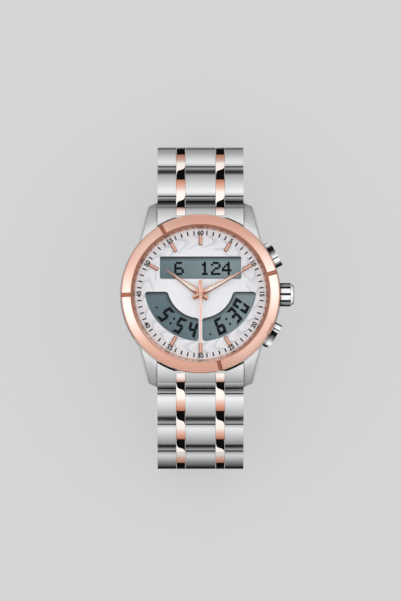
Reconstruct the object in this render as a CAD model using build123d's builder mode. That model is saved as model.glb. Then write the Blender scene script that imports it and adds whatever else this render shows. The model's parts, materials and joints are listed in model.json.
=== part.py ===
from build123d import *
import os
from math import asin, cos, degrees, radians, sin, sqrt

# Analogue-digital wristwatch lying closed on its clasp, dial up.  Millimetres.
# +X is 3 o'clock, +Y is 12 o'clock, +Z is the way the dial faces.  The origin is on the
# flat underside of the clasp cover, straight below the middle of the dial.

# ---- bracelet: rows of steel blocks with gold bars between them ----
PITCH = 8.0            # hinge to hinge along one row
BAND = 21.9            # width over the outer blocks
CENTRE_HALF = 3.82     # half width of the middle block
BAR_IN = 3.87          # gold bar, inner and outer side
BAR_OUT = 6.16
OUTER_IN = 6.21        # inner side of the outer block
KNUCKLE = 1.35         # radius of the rounded row end about its hinge
SOCKET = 1.55          # hollow row end that clears the next row's knuckle
BAR_SOCKET = 1.50      # the same at the far end of a gold bar
PIN = 0.50             # radius of the cross pins
PIN_FIT = 0.51         # hole that holds a pin
PIN_TURN = 0.54        # hole that turns on a pin
PIN_HALF = 10.4        # half length of a cross pin
FIXED_PIN = 3.9        # place along a row of the pin that ties bars and blocks together
LIP = 0.95             # height of a socket's edge, where the low step starts
STEP = 1.05            # length of the low step
STEP_TOP = 1.42        # top of the step's wall
DOME = 1.75            # highest point of a block
DOME_END = 1.335       # where the dome meets the knuckle
BAR_FAR = 1.15         # height of a gold bar's far end
FIRST_HINGE = 22.6     # first hinge line, out from the dial axis
LOW_HINGE = 1.9        # height of the lowest hinge lines

# Slope of each row below the horizontal, from the case round to the clasp.  The fifth row
# on the 12 o'clock side takes the slope that brings both sides to the same height.
SLOPES_6 = [18, 32, 46, 98, 148, 180]
DROP = PITCH * sum(sin(radians(a)) for a in SLOPES_6)
SLOPES_12 = [16, 38, 86, 124, 0, 180]
DROP_LEFT = DROP / PITCH - sum(sin(radians(a)) for a in SLOPES_12)
SLOPES_12[4] = 180 - degrees(asin(DROP_LEFT))

# ---- head: heights are above the underside of the case back ----
HINGE_UP = 4.1                              # first hinge line above the case back
BACK = LOW_HINGE + DROP - HINGE_UP          # height of the case back in the whole part
CASE_R = 20.5          # widest radius of the middle case
CASE_BORE = 17.4
CASE_LOW = 1.0         # where the middle case starts, above the back's flange
CASE_TOP = 8.6         # where the bezel sits
RIM_R = 18.2           # rim that the bezel is pressed over
RIM_TOP = 9.8
BEZEL_R = 20.15
BEZEL_TOP = 11.6
BEZEL_SLOPE = 0.375    # fall of the bezel's top face, outward
GLASS_R = 17.33
GLASS_LOW = 10.02
GLASS_TOP = 11.5
SEAL_R = 17.58         # outer radius of the crystal's seal
REHAUT_IN = 16.5       # inner edge of the sloping ring round the dial
DIAL_R = 17.3
DIAL_LOW = 7.5
DIAL_TOP = 7.9
LUG_HALF = 11.0        # half the gap between the lugs: a 22 mm strap fits
LUG_TIP = 23.5
LUG_PLAN = [(10.5, 12.0), (10.5, 23.7), (13.45, 22.35), (15.95, 12.0)]     # seen from above
LUG_FLAT = 19.4        # flat on the case behind each end link
LINK_LOW = 1.15        # underside of the end links
LINK_TOP = 7.5         # top of the end links where they meet the case
LINK_REACH = 16.4      # how far in their corners reach beside the round case
BAR_Y = 20.7           # spring bar, out from the dial axis
BAR_Z = 2.4            # spring bar height above the case back
CROWN_Z = 5.0          # height of crown and pushers above the case back
CROWN_R = 3.0
CROWN_IN = 20.15       # inner and outer end of the crown
CROWN_OUT = 23.75
CROWN_RIBS = 10
RIB_GROOVE = 0.3       # radius of the grooves between the ribs
CROWN_CAP = 2.6        # radius of the plain outer end
CROWN_TUBE = 1.3       # outer radius of the crown's tube
STEM_IN = 9.6          # inner end of the winding stem
STEM_NECK = 11.4       # neck that the setting lever holds
CROWN_RIBBED = 2.75    # length of the ribbed part of the crown
PUSHER_ANGLES = {"upper": 61.2, "lower": 119.7}    # clock angles of the two pushers
PUSHER_FLAT = 19.3     # floor of the pocket in the case under each pusher, out from the dial axis
PUSHER_IN = 20.1
PUSHER_OUT = 21.95
PUSHER_LONG = 6.8
PUSHER_HIGH = 2.1
PUSHER_END = 0.95      # fall of the rounding at a pusher's far end
PUSHER_ARC = 1.9       # length of that rounding
PUSHER_GROOVES = [0.87, 1.46]               # from the pusher's middle towards the crown
PUSHER_PLUG = 16.3     # inner end of a pusher's plug, out from the dial axis
TUBE_R = 1.1           # radius of the bush in the case for each pusher
STEM_R = 0.6
HOUR_Z = 8.35          # undersides of the three hands
MINUTE_Z = 8.8
SECOND_Z = 9.25
HAND_THICK = 0.22
# each hand: clock angle, underside, length, tail, half width, hub, shaft, bore, shaft's low end
HANDS = {"hour_hand": (305, HOUR_Z, 10.8, 2.4, 0.95, 1.0, 0.75, 0.53, 6.0),
         "minute_hand": (61.6, MINUTE_Z, 15.1, 2.4, 0.85, 0.8, 0.48, 0.28, 5.4),
         "second_hand": (180, SECOND_Z, 14.5, 3.5, 0.24, 0.6, 0.22, 0, 5.0)}

SCREW_R = 18.25        # circle of the case back's screws
SCREWS = 4
SCREW_HEAD = 0.8       # radius of a screw's head
SCREW_SHANK = 0.44
BEZEL_FLUTES = [74, 165, 269, 329.5]        # clock angles of the flutes across the bezel
FLUTE_R = 1.2
FLUTE_DEEP = 0.14
WINDOW_LONG = 20.4     # display windows in the dial, from the dial centre
WINDOW_HIGH = 5.3
WINDOW_Y = 6.7
BOW_IN = 8.7
BOW_OUT = 14.2
BOW_Y = 2.4
BOW_TOP = 0.4
BRIDGE = 1.15
MARKER_HOURS = [12, 1, 2, 5, 6, 7, 10, 11]
MARKER_IN = 12.4
MARKER_OUT = 15.0

# ---- movement: places are from the dial axis, heights above the case back ----
HOLDER_IN = 14.8       # inner radius of the holder ring
WORKS_R = 14.5         # radius of the plate and the board
RING_LOW = 2.05
PLATE_LOW = 5.75
PLATE_THICK = 0.85
PILLAR = 1.2           # length of the plate's pillars down to the board
BOARD_LOW = 3.75
BOARD_THICK = 0.75
CELL_AT = (-5.5, -5.0)
CELL_R = 4.75
CELL_LOW = 2.15
COIL_Y = -8.0
COIL_Z = 5.12
COIL_IN = 2.5          # where the winding starts, towards the crown
COIL_LONG = 6.0
SOUNDER_AT = (5.0, 5.0)
SOUNDER_R = 6.0
SOUNDER_LOW = 2.02
PANEL_LOW = 6.65       # underside of the display panel
PANEL_R = 14.6

# ---- clasp: heights are above the surface it rests on ----
COVER_THICK = 0.8
COVER_HALF = 10.95
WALL = 0.95            # thickness of the cover's side walls
WALL_TOP = 3.25
BLADE_HALF = 8.4
BLADE_THICK = 0.85
MIDDLE_LOW = 1.2       # underside of the middle blade
INNER_LOW = 2.5        # underside of the inner blade
FRONT_PIN_Z = 1.65     # cover to middle blade
REAR_PIN_Y = -21.8     # middle blade to inner blade
REAR_PIN_Z = 2.3
CLASP_PIN = 0.4
BUTTON_Y = -6.0
BUTTON_Z = 2.1
COVER_OVER = 1.9       # how far the cover stops short of the hinges at its two ends


def hinge_line(slopes):
    """Hinge points (out from the dial axis, height) from the case round to the clasp."""
    points = [(FIRST_HINGE, BACK + HINGE_UP)]
    for slope in slopes:
        y, z = points[-1]
        points.append((y + PITCH * cos(radians(slope)), z - PITCH * sin(radians(slope))))
    return points


HINGES = {"12": hinge_line(SLOPES_12), "6": hinge_line(SLOPES_6)}
SLOPES = {"12": SLOPES_12, "6": SLOPES_6}
SIGN = {"12": 1, "6": -1}
CLASP_12_Y = HINGES["12"][-1][0]            # hinge between last row and inner blade
CLASP_6_Y = -HINGES["6"][-1][0]             # pin that the cover's tongues reach for
FRONT_PIN_Y = CLASP_12_Y - 4.0

HEAD = Plane(origin=(0, 0, BACK), x_dir=(1, 0, 0), z_dir=(0, -1, 0))      # x out, y up
PROFILE = Plane(origin=(0, 0, BACK), x_dir=(0, 1, 0), z_dir=(1, 0, 0))    # x to 12, y up
CLASP = Plane(origin=(0, 0, 0), x_dir=(0, 1, 0), z_dir=(1, 0, 0))         # x to 12, y up


def save(piece, name):
    piece.part.label = name
    export_step(piece.part, f"parts/{name}.step")


def level(height):
    """A horizontal plane at a height above the case back."""
    return Plane.XY.offset(BACK + height)


def turned(name, points):
    """A turned piece of the head, from the corners (radius, height) of its section."""
    with BuildPart() as piece:
        with BuildSketch(HEAD):
            with BuildLine():
                Polyline(*points, close=True)
            make_face()
        revolve(axis=Axis.Z)
    save(piece, name)


def row_plane(side, index):
    """Plane with x along row number index and y out of the bracelet, at its first hinge."""
    y, z = HINGES[side][index - 1]
    slope = radians(SLOPES[side][index - 1])
    sign = SIGN[side]
    return Plane(origin=(0, sign * y, z), x_dir=(0, sign * cos(slope), -sin(slope)),
                 z_dir=(sign, 0, 0))


# ------------------------------------------------------------------ bracelet

def block_outline():
    """Side view of a steel block: socket, low step, domed top, knuckle."""
    lip_x = sqrt(SOCKET ** 2 - LIP ** 2)
    step_x = lip_x + STEP
    with BuildSketch() as outline:
        with BuildLine():
            Line((lip_x, LIP), (step_x, LIP + 0.08))
            Line((step_x, LIP + 0.08), (step_x + 0.1, STEP_TOP))
            ThreePointArc((step_x + 0.1, STEP_TOP), (5.1, DOME), (PITCH - 0.2, DOME_END))
            ThreePointArc((PITCH - 0.2, DOME_END), (PITCH + KNUCKLE, 0), (PITCH, -KNUCKLE))
            Line((PITCH, -KNUCKLE), (lip_x + 0.45, -KNUCKLE))
            Line((lip_x + 0.45, -KNUCKLE), (lip_x, -LIP))
            ThreePointArc((lip_x, -LIP), (SOCKET, 0), (lip_x, LIP))
        make_face()
        with Locations((PITCH, 0), (FIXED_PIN, 0)):
            Circle(PIN_FIT, mode=Mode.SUBTRACT)
    return outline.sketch


def pins(plane, places, radius=PIN, half=PIN_HALF):
    """Cross pins along X at points of a plane."""
    with Locations(plane):
        with Locations(*places):
            Cylinder(radius, 2 * half)


def make_row(side, index):
    plane = row_plane(side, index)
    with BuildPart() as row:
        with BuildSketch(plane.offset(OUTER_IN * SIGN[side])):
            add(BLOCK)
        extrude(amount=SIGN[side] * (BAND / 2 - OUTER_IN))
        # bevel along the top outer edge, cut square across the row
        across = Plane(origin=plane.origin, x_dir=(1, 0, 0), z_dir=plane.x_dir)
        top = -SIGN[side] * DOME
        with BuildSketch(across.offset(-3)):
            with BuildLine():
                Polyline((BAND / 2 - 0.5, 1.1 * top), (BAND / 2 + 0.1, 0.62 * top),
                         (BAND / 2 + 0.1, 1.1 * top), close=True)
            make_face()
        extrude(amount=PITCH + 6, mode=Mode.SUBTRACT)
        mirror(about=Plane.YZ)
        with BuildSketch(plane):
            add(BLOCK)
        extrude(amount=CENTRE_HALF, both=True)
        pins(plane, [(PITCH, 0), (FIXED_PIN, 0)])
    save(row, f"row_{side}_{index}")


def make_bars(side, index):
    """The two gold bars of a row, hinged inside the row before it."""
    far_x = PITCH - sqrt(BAR_SOCKET ** 2 - BAR_FAR ** 2)
    near = radians(100)
    top = (KNUCKLE * cos(near), KNUCKLE * sin(near))
    with BuildPart() as bars:
        with BuildSketch(row_plane(side, index).offset(BAR_IN)):
            with BuildLine():
                ThreePointArc(top, (3.2, 1.62), (far_x, BAR_FAR))
                ThreePointArc((far_x, BAR_FAR), (PITCH - BAR_SOCKET, 0), (far_x, -BAR_FAR))
                Line((far_x, -BAR_FAR), (0, -KNUCKLE))
                ThreePointArc((0, -KNUCKLE), (-KNUCKLE, 0), top)
            make_face()
            Circle(PIN_TURN, mode=Mode.SUBTRACT)
            with Locations((FIXED_PIN, 0)):
                Circle(PIN_FIT, mode=Mode.SUBTRACT)
        extrude(amount=BAR_OUT - BAR_IN)
        mirror(about=Plane.YZ)
    save(bars, f"accent_{side}_{index}")


# ------------------------------------------------------------------ case

def lug_shape():
    """The 12 o'clock lug on the crown side: side outline crossed with plan outline."""
    with BuildPart() as lug:
        with BuildSketch(PROFILE.offset(LUG_HALF)):
            with BuildLine():
                ThreePointArc((12.0, 8.35), (18.6, 7.35), (23.2, 4.4))
                ThreePointArc((23.2, 4.4), (LUG_TIP, 3.9), (LUG_TIP - 0.1, 3.3))
                Line((LUG_TIP - 0.1, 3.3), (23.0, 0.9))
                ThreePointArc((23.0, 0.9), (18.0, 1.1), (12.0, 1.4))
                Line((12.0, 1.4), (12.0, 8.35))
            make_face()
        extrude(amount=5.5)
        with BuildSketch(level(0)):
            with BuildLine():
                Polyline(*LUG_PLAN, close=True)
            make_face()
        extrude(amount=10, mode=Mode.INTERSECT)
        chamfer(lug.faces().sort_by(Axis.X)[-1].edges().sort_by(Axis.Z)[-1], 0.7)
    return lug.part


def make_mid_case():
    lug = lug_shape()
    with BuildPart() as case:
        with BuildSketch(HEAD):
            with BuildLine():
                Polyline((CASE_BORE, RIM_TOP), (CASE_BORE, CASE_LOW), (19.5, CASE_LOW))
                ThreePointArc((19.5, CASE_LOW), (20.2, 1.5), (20.45, 2.6))
                ThreePointArc((20.45, 2.6), (CASE_R, 5.0), (20.2, CASE_TOP))
                Polyline((20.2, CASE_TOP), (RIM_R, CASE_TOP), (RIM_R, RIM_TOP),
                         (CASE_BORE, RIM_TOP))
            make_face()
        revolve(axis=Axis.Z)
        # flats behind the end links, then the lugs beside them
        with BuildSketch(level(0)):
            with GridLocations(0, 2 * (LUG_FLAT + 2), 1, 2):
                Rectangle(2 * LUG_HALF, 4)
        extrude(amount=CASE_TOP, mode=Mode.SUBTRACT)
        add(lug)
        add(lug.mirror(Plane.YZ))
        add(lug.mirror(Plane.XZ))
        add(lug.mirror(Plane.XZ).mirror(Plane.YZ))
        with BuildSketch(level(0)):
            Circle(CASE_BORE)
        extrude(amount=RIM_TOP, mode=Mode.SUBTRACT)
        # flats and bores for the crown and the two pushers
        with BuildSketch(side_plane(90).offset(CROWN_IN - 0.15)):
            Circle(CROWN_R + 0.25)
        extrude(amount=3, mode=Mode.SUBTRACT)
        with BuildSketch(side_plane(90)):
            Circle(CROWN_TUBE)
        extrude(amount=21, mode=Mode.SUBTRACT)
        for angle in PUSHER_ANGLES.values():
            with BuildSketch(side_plane(angle).offset(PUSHER_FLAT)):
                RectangleRounded(PUSHER_LONG + 0.6, PUSHER_HIGH + 0.6, 0.6)
            extrude(amount=3, mode=Mode.SUBTRACT)
            with BuildSketch(side_plane(angle)):
                Circle(TUBE_R)
            extrude(amount=21, mode=Mode.SUBTRACT)
        # holes for the spring bar tips and the back's screws
        with BuildSketch(PROFILE):
            with Locations((BAR_Y, BAR_Z), (-BAR_Y, BAR_Z)):
                Circle(0.46)
        extrude(amount=LUG_HALF + 1.4, both=True, mode=Mode.SUBTRACT)
        with BuildSketch(level(CASE_LOW)):
            with PolarLocations(SCREW_R, SCREWS, 45):
                Circle(SCREW_SHANK + 0.01)
        extrude(amount=1.6, mode=Mode.SUBTRACT)
    save(case, "mid_case")


def side_plane(angle):
    """Plane facing out of the case side at a clock angle, x along the case, at crown height."""
    a = radians(angle)
    return Plane(origin=(0, 0, BACK + CROWN_Z), x_dir=(cos(a), -sin(a), 0),
                 z_dir=(sin(a), cos(a), 0))


def make_case_tubes():
    with BuildPart() as tubes:
        with BuildSketch(side_plane(90).offset(CASE_BORE - 0.9)):
            Circle(CROWN_TUBE)
            Circle(STEM_R + 0.02, mode=Mode.SUBTRACT)
        extrude(amount=5.0)
        for angle in PUSHER_ANGLES.values():
            with BuildSketch(side_plane(angle).offset(CASE_BORE - 0.3)):
                Circle(TUBE_R)
                Circle(STEM_R + 0.05, mode=Mode.SUBTRACT)
            extrude(amount=PUSHER_FLAT - CASE_BORE + 0.3)
    save(tubes, "case_tubes")


def make_bezel():
    with BuildPart() as bezel:
        with BuildSketch(HEAD):
            with BuildLine():
                Polyline((RIM_R, CASE_TOP), (BEZEL_R, CASE_TOP), (BEZEL_R, 10.2))
                ThreePointArc((BEZEL_R, 10.2), (20.05, 10.62), (19.8, BEZEL_TOP - 2 * BEZEL_SLOPE))
                Polyline((19.8, BEZEL_TOP - 2 * BEZEL_SLOPE), (17.8, BEZEL_TOP), (17.6, 11.45),
                         (17.6, RIM_TOP + 0.02),
                         (RIM_R, RIM_TOP + 0.02), (RIM_R, CASE_TOP))
            make_face()
        revolve(axis=Axis.Z)
        # polished flutes across the ring
        for angle in BEZEL_FLUTES:
            a = radians(angle)
            apex = BEZEL_TOP + 17.8 * BEZEL_SLOPE - FLUTE_DEEP
            flute = Plane(origin=(0, 0, BACK + apex), x_dir=(cos(a), -sin(a), 0),
                          z_dir=(sin(a), cos(a), -BEZEL_SLOPE))
            with BuildSketch(flute.offset(17)):
                with Locations((0, -FLUTE_R)):
                    Circle(FLUTE_R)
            extrude(amount=6, mode=Mode.SUBTRACT)
    save(bezel, "bezel")


def make_case_back():
    with BuildPart() as back:
        with BuildSketch(HEAD):
            with BuildLine():
                Polyline((0, 0), (15.0, 0), (15.6, 0.25), (18.9, 0.25), (19.2, 0.5),
                         (19.2, 0.98), (17.3, 0.98), (17.3, 2.0), (0, 2.0), close=True)
            make_face()
        revolve(axis=Axis.Z)
        with BuildSketch(HEAD):
            with BuildLine():
                Polyline((17.31, 1.25), (17.31, 1.65), (17.0, 1.65), (17.0, 1.25), close=True)
            make_face()
        revolve(axis=Axis.Z, mode=Mode.SUBTRACT)
        with BuildSketch(level(0)):
            with PolarLocations(SCREW_R, SCREWS, 45):
                Circle(SCREW_SHANK + 0.03)
        extrude(amount=1, mode=Mode.SUBTRACT)
    save(back, "case_back")


def make_back_screws():
    with BuildPart() as screws:
        with BuildSketch(level(CASE_LOW - 0.98)):
            with PolarLocations(SCREW_R, SCREWS, 45):
                Circle(SCREW_HEAD)
        extrude(amount=0.23)
        with BuildSketch(level(CASE_LOW - 0.75)):
            with PolarLocations(SCREW_R, SCREWS, 45):
                Circle(SCREW_SHANK)
        extrude(amount=2.2)
        with BuildSketch(level(0)):
            with PolarLocations(SCREW_R, SCREWS, 45):
                Rectangle(1.4, 0.25)
        extrude(amount=0.12, mode=Mode.SUBTRACT)
    save(screws, "case_back_screws")


# ------------------------------------------------------------------ end links

def make_spring_bars():
    with BuildPart() as bars:
        for radius, half in ((0.75, 10.2), (0.42, 12.1)):
            pins(PROFILE, [(BAR_Y, BAR_Z), (-BAR_Y, BAR_Z)], radius, half)
    save(bars, "spring_bars")


def end_link_outline(low):
    """Side view of an end link, from a floor height up."""
    with BuildSketch() as outline:
        with BuildLine():
            ThreePointArc((LUG_FLAT + 0.08, LINK_TOP), (21.1, 6.75),
                          (FIRST_HINGE - 0.2, HINGE_UP + DOME_END))
            ThreePointArc((FIRST_HINGE - 0.2, HINGE_UP + DOME_END),
                          (FIRST_HINGE + KNUCKLE, HINGE_UP), (FIRST_HINGE, HINGE_UP - KNUCKLE))
            Polyline((FIRST_HINGE, HINGE_UP - KNUCKLE), (21.7, low), (LUG_FLAT + 0.08, low),
                     (LUG_FLAT + 0.08, LINK_TOP))
        make_face()
    return outline.sketch


def make_end_links():
    outline = end_link_outline(LINK_LOW)
    with BuildPart() as links:
        # corners that reach in under the bezel and follow the round case
        with BuildSketch(PROFILE):
            with BuildLine():
                Polyline((LINK_REACH, LINK_LOW), (LINK_REACH, LINK_TOP + 0.7),
                         (LUG_FLAT + 0.08, LINK_TOP), (LUG_FLAT + 0.2, LINK_LOW), close=True)
            make_face()
        extrude(amount=BAND / 2, both=True)
        with BuildSketch(level(0)):
            Circle(CASE_R + 0.08)
        extrude(amount=CASE_TOP, mode=Mode.SUBTRACT)
        with BuildSketch(PROFILE):
            add(outline)
            with Locations((BAR_Y, BAR_Z)):
                Circle(0.78, mode=Mode.SUBTRACT)
            with Locations((FIRST_HINGE, HINGE_UP)):
                Circle(PIN_FIT, mode=Mode.SUBTRACT)
        extrude(amount=BAND / 2, both=True)
        # slots for the gold bars
        for x in (BAR_IN - 0.05, -BAR_OUT - 0.05):
            with BuildSketch(PROFILE.offset(x)):
                with BuildLine():
                    Polyline((LUG_FLAT + 0.6, 9), (LUG_FLAT + 0.6, 4.3), (21.4, 4.3),
                             (22.2, 2.2), (25, 2.2), (25, 9), close=True)
                make_face()
                with Locations((FIRST_HINGE, HINGE_UP)):
                    Circle(BAR_SOCKET)
            extrude(amount=BAR_OUT - BAR_IN + 0.1, mode=Mode.SUBTRACT)
        pins(PROFILE, [(FIRST_HINGE, HINGE_UP)])
        mirror(about=Plane.XZ)
    save(links, "end_links")


def make_end_link_bars():
    """Short gold bars let into the end links."""
    outline = end_link_outline(HINGE_UP + 0.25)
    with BuildPart() as bars:
        with BuildSketch(PROFILE.offset(BAR_IN)):
            add(outline)
            with Locations((LUG_FLAT, 5)):
                Rectangle(1.26, 10, mode=Mode.SUBTRACT)
            with Locations((FIRST_HINGE, HINGE_UP)):
                Circle(BAR_SOCKET, mode=Mode.SUBTRACT)
            with Locations((FIRST_HINGE + 2, HINGE_UP)):
                Rectangle(4, 8, mode=Mode.SUBTRACT)
        extrude(amount=BAR_OUT - BAR_IN)
        mirror(about=Plane.YZ)
        mirror(about=Plane.XZ)
    save(bars, "end_link_accents")


# ------------------------------------------------------------------ dial and hands

def top_window():
    with Locations((0, WINDOW_Y)):
        RectangleRounded(WINDOW_LONG, WINDOW_HIGH, 0.35)


def low_windows():
    """Two bow-shaped windows, their arcs about a point above the dial centre."""
    with Locations((0, BOW_Y)):
        Circle(BOW_OUT)
        Circle(BOW_IN, mode=Mode.SUBTRACT)
    with Locations((0, BOW_TOP + 10)):
        Rectangle(32, 20, mode=Mode.SUBTRACT)
    with Locations((0, -8)):
        Rectangle(BRIDGE, 20, mode=Mode.SUBTRACT)


def make_dial():
    with BuildPart() as dial:
        with BuildSketch(level(DIAL_LOW)):
            Circle(DIAL_R)
            Circle(0.95, mode=Mode.SUBTRACT)
        extrude(amount=DIAL_TOP - DIAL_LOW)
        with BuildSketch(level(DIAL_LOW)) as windows:
            low_windows()
            fillet(windows.vertices(), 0.7)
            top_window()
        extrude(amount=DIAL_TOP - DIAL_LOW, mode=Mode.SUBTRACT)
        rims = dial.edges().filter_by_position(Axis.Z, BACK + DIAL_TOP, BACK + DIAL_TOP)
        window_rims = [e for e in rims if e.geom_type != GeomType.CIRCLE or
                       1.5 < e.radius < DIAL_R - 0.5 or e.radius < 0.9]
        chamfer(window_rims, 0.22)
    save(dial, "dial")


def make_lcd_panel():
    with BuildPart() as panel:
        with BuildSketch(level(PANEL_LOW)):
            Circle(PANEL_R)
            Circle(1.4, mode=Mode.SUBTRACT)
        extrude(amount=DIAL_LOW - 0.03 - PANEL_LOW)
    save(panel, "lcd_panel")


def make_markers():
    with BuildPart() as markers:
        for hour in MARKER_HOURS:
            a = radians(30 * hour)
            facing = Plane(origin=(0, 0, BACK + DIAL_TOP), x_dir=(cos(a), -sin(a), 0),
                           z_dir=(0, 0, 1))
            with BuildSketch(facing):
                with Locations((0, (MARKER_IN + MARKER_OUT) / 2)):
                    Rectangle(0.85, MARKER_OUT - MARKER_IN)
            bar = extrude(amount=0.42)
            chamfer(bar.faces().sort_by(Axis.Z)[-1].edges(), 0.18)
    save(markers, "hour_markers")


def make_hand(name, clock_angle, under, length, tail, half_width, hub, shaft, bore, shaft_low):
    """A kite-shaped hand, its collar, and the hollow shaft that turns it."""
    a = radians(clock_angle)
    plane = Plane(origin=(0, 0, BACK + under), x_dir=(cos(a), -sin(a), 0), z_dir=(0, 0, 1))
    with BuildPart() as hand:
        with BuildSketch(plane):
            with BuildLine():
                Polyline((0.07, length), (-0.07, length), (-half_width, 1.6), (-0.2, -tail),
                         (0.2, -tail), (half_width, 1.6), close=True)
            make_face()
            Circle(hub)
        blade = extrude(amount=HAND_THICK)
        chamfer(blade.faces().sort_by(Axis.Z)[-1].outer_wire().edges(), 0.06)
        with BuildSketch(level(shaft_low)):
            Circle(shaft)
        extrude(amount=under - shaft_low + 0.1)
        if bore:
            with BuildSketch(level(shaft_low)):
                Circle(bore)
            extrude(amount=under - shaft_low + HAND_THICK, mode=Mode.SUBTRACT)
    save(hand, name)


# ------------------------------------------------------------------ movement

def make_movement_ring():
    with BuildPart() as ring:
        with BuildSketch(level(RING_LOW)):
            Circle(DIAL_R)
            Circle(HOLDER_IN, mode=Mode.SUBTRACT)
        extrude(amount=DIAL_LOW - 0.02 - RING_LOW)
        for angle, wide in ((90, 4.2), (PUSHER_ANGLES["upper"], 2.9), (PUSHER_ANGLES["lower"], 2.9)):
            with BuildSketch(side_plane(angle).offset(HOLDER_IN - 0.8)):
                Rectangle(wide, 2.9)
            extrude(amount=4, mode=Mode.SUBTRACT)
    save(ring, "movement_ring")


def make_movement_plate():
    """The main plate on five pillars, with a slot for the setting lever."""
    with BuildPart() as plate:
        with BuildSketch(level(PLATE_LOW)):
            Circle(WORKS_R)
            Circle(0.82, mode=Mode.SUBTRACT)
            with Locations((12.2, 0)):
                Rectangle(6.4, 2.4, mode=Mode.SUBTRACT)
        extrude(amount=PLATE_THICK)
        with BuildSketch(level(PLATE_LOW - PILLAR)):
            with PolarLocations(13.2, 5, 20):
                Circle(0.9)
        extrude(amount=PILLAR)
    save(plate, "movement_plate")


def make_circuit_board():
    with BuildPart() as board:
        with BuildSketch(level(BOARD_LOW)):
            Circle(WORKS_R)
            with Locations((12.0, 0)):
                Rectangle(7.4, 4.2, mode=Mode.SUBTRACT)
            with Locations(CELL_AT):
                Circle(CELL_R + 0.2, mode=Mode.SUBTRACT)
        extrude(amount=BOARD_THICK)
        # two chips
        with BuildSketch(level(BOARD_LOW + BOARD_THICK)):
            with Locations((-6, 6)):
                Rectangle(4.5, 4.5)
            with Locations((0, 9)):
                Rectangle(3.2, 1.4)
        extrude(amount=0.8)
    save(board, "circuit_board")


def make_battery():
    with BuildPart() as battery:
        with BuildSketch(level(CELL_LOW)):
            with Locations(CELL_AT):
                Circle(CELL_R - 0.45)
        extrude(amount=0.5)
        with BuildSketch(level(CELL_LOW + 0.5)):
            with Locations(CELL_AT):
                Circle(CELL_R)
        extrude(amount=2.2)
        fillet(battery.edges().sort_by(Axis.Z)[-1], 0.3)
    save(battery, "battery")


def make_motor_coil():
    """The stepping motor's winding between two square ends."""
    with BuildPart() as coil:
        with BuildSketch(Plane.YZ.offset(COIL_IN)):
            with Locations((COIL_Y, BACK + COIL_Z)):
                Circle(0.55)
        extrude(amount=COIL_LONG)
        for end in (COIL_IN - 0.3, COIL_IN + COIL_LONG - 0.3):
            with BuildSketch(Plane.YZ.offset(end)):
                with Locations((COIL_Y, BACK + COIL_Z)):
                    Rectangle(1.2, 1.16)
            extrude(amount=0.6)
    save(coil, "motor_coil")


def make_sounder():
    with BuildPart() as sounder:
        for radius, low in ((SOUNDER_R, SOUNDER_LOW), (SOUNDER_R - 1.5, SOUNDER_LOW + 0.2)):
            with BuildSketch(level(low)):
                with Locations(SOUNDER_AT):
                    Circle(radius)
            extrude(amount=0.2)
    save(sounder, "piezo_sounder")


# ------------------------------------------------------------------ crown and pushers

def make_crown():
    with BuildPart() as crown:
        with BuildSketch(side_plane(90).offset(CROWN_IN)):
            Circle(CROWN_R)
            with PolarLocations(CROWN_R + 0.08, CROWN_RIBS, 180 / CROWN_RIBS):
                Circle(RIB_GROOVE, mode=Mode.SUBTRACT)
        extrude(amount=CROWN_RIBBED)
        chamfer(crown.faces().sort_by(Axis.X)[-1].edges(), 0.2)
        with BuildSketch(side_plane(90).offset(CROWN_IN + CROWN_RIBBED)):
            Circle(CROWN_CAP)
        extrude(amount=CROWN_OUT - CROWN_IN - CROWN_RIBBED)
        fillet(crown.faces().sort_by(Axis.X)[-1].edges(), 0.4)
        with BuildSketch(side_plane(90).offset(CROWN_IN)):
            Circle(CROWN_TUBE + 0.2)
        extrude(amount=1.75, mode=Mode.SUBTRACT)
        with BuildSketch(side_plane(90).offset(CROWN_IN)):
            Circle(0.5)
        extrude(amount=2.9, mode=Mode.SUBTRACT)
    save(crown, "crown")


def make_stem():
    with BuildPart() as stem:
        with BuildSketch(side_plane(90).offset(STEM_IN)):
            Circle(0.5)
        extrude(amount=CROWN_IN + 2.85 - STEM_IN)
        with BuildSketch(side_plane(90).offset(STEM_NECK)):
            Circle(0.6)
            Circle(0.32, mode=Mode.SUBTRACT)
        extrude(amount=0.6, mode=Mode.SUBTRACT)
    save(stem, "winding_stem")


def make_setting_lever():
    """A small plate whose fork holds the neck of the stem."""
    with BuildPart() as lever:
        with BuildSketch(side_plane(90).offset(STEM_NECK + 0.1)):
            Rectangle(2.0, 1.3)
            with Locations((0, 0.25)):
                Rectangle(0.76, 1.3, mode=Mode.SUBTRACT)
            Circle(0.38, mode=Mode.SUBTRACT)
        extrude(amount=0.4)
    save(lever, "setting_lever")


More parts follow.
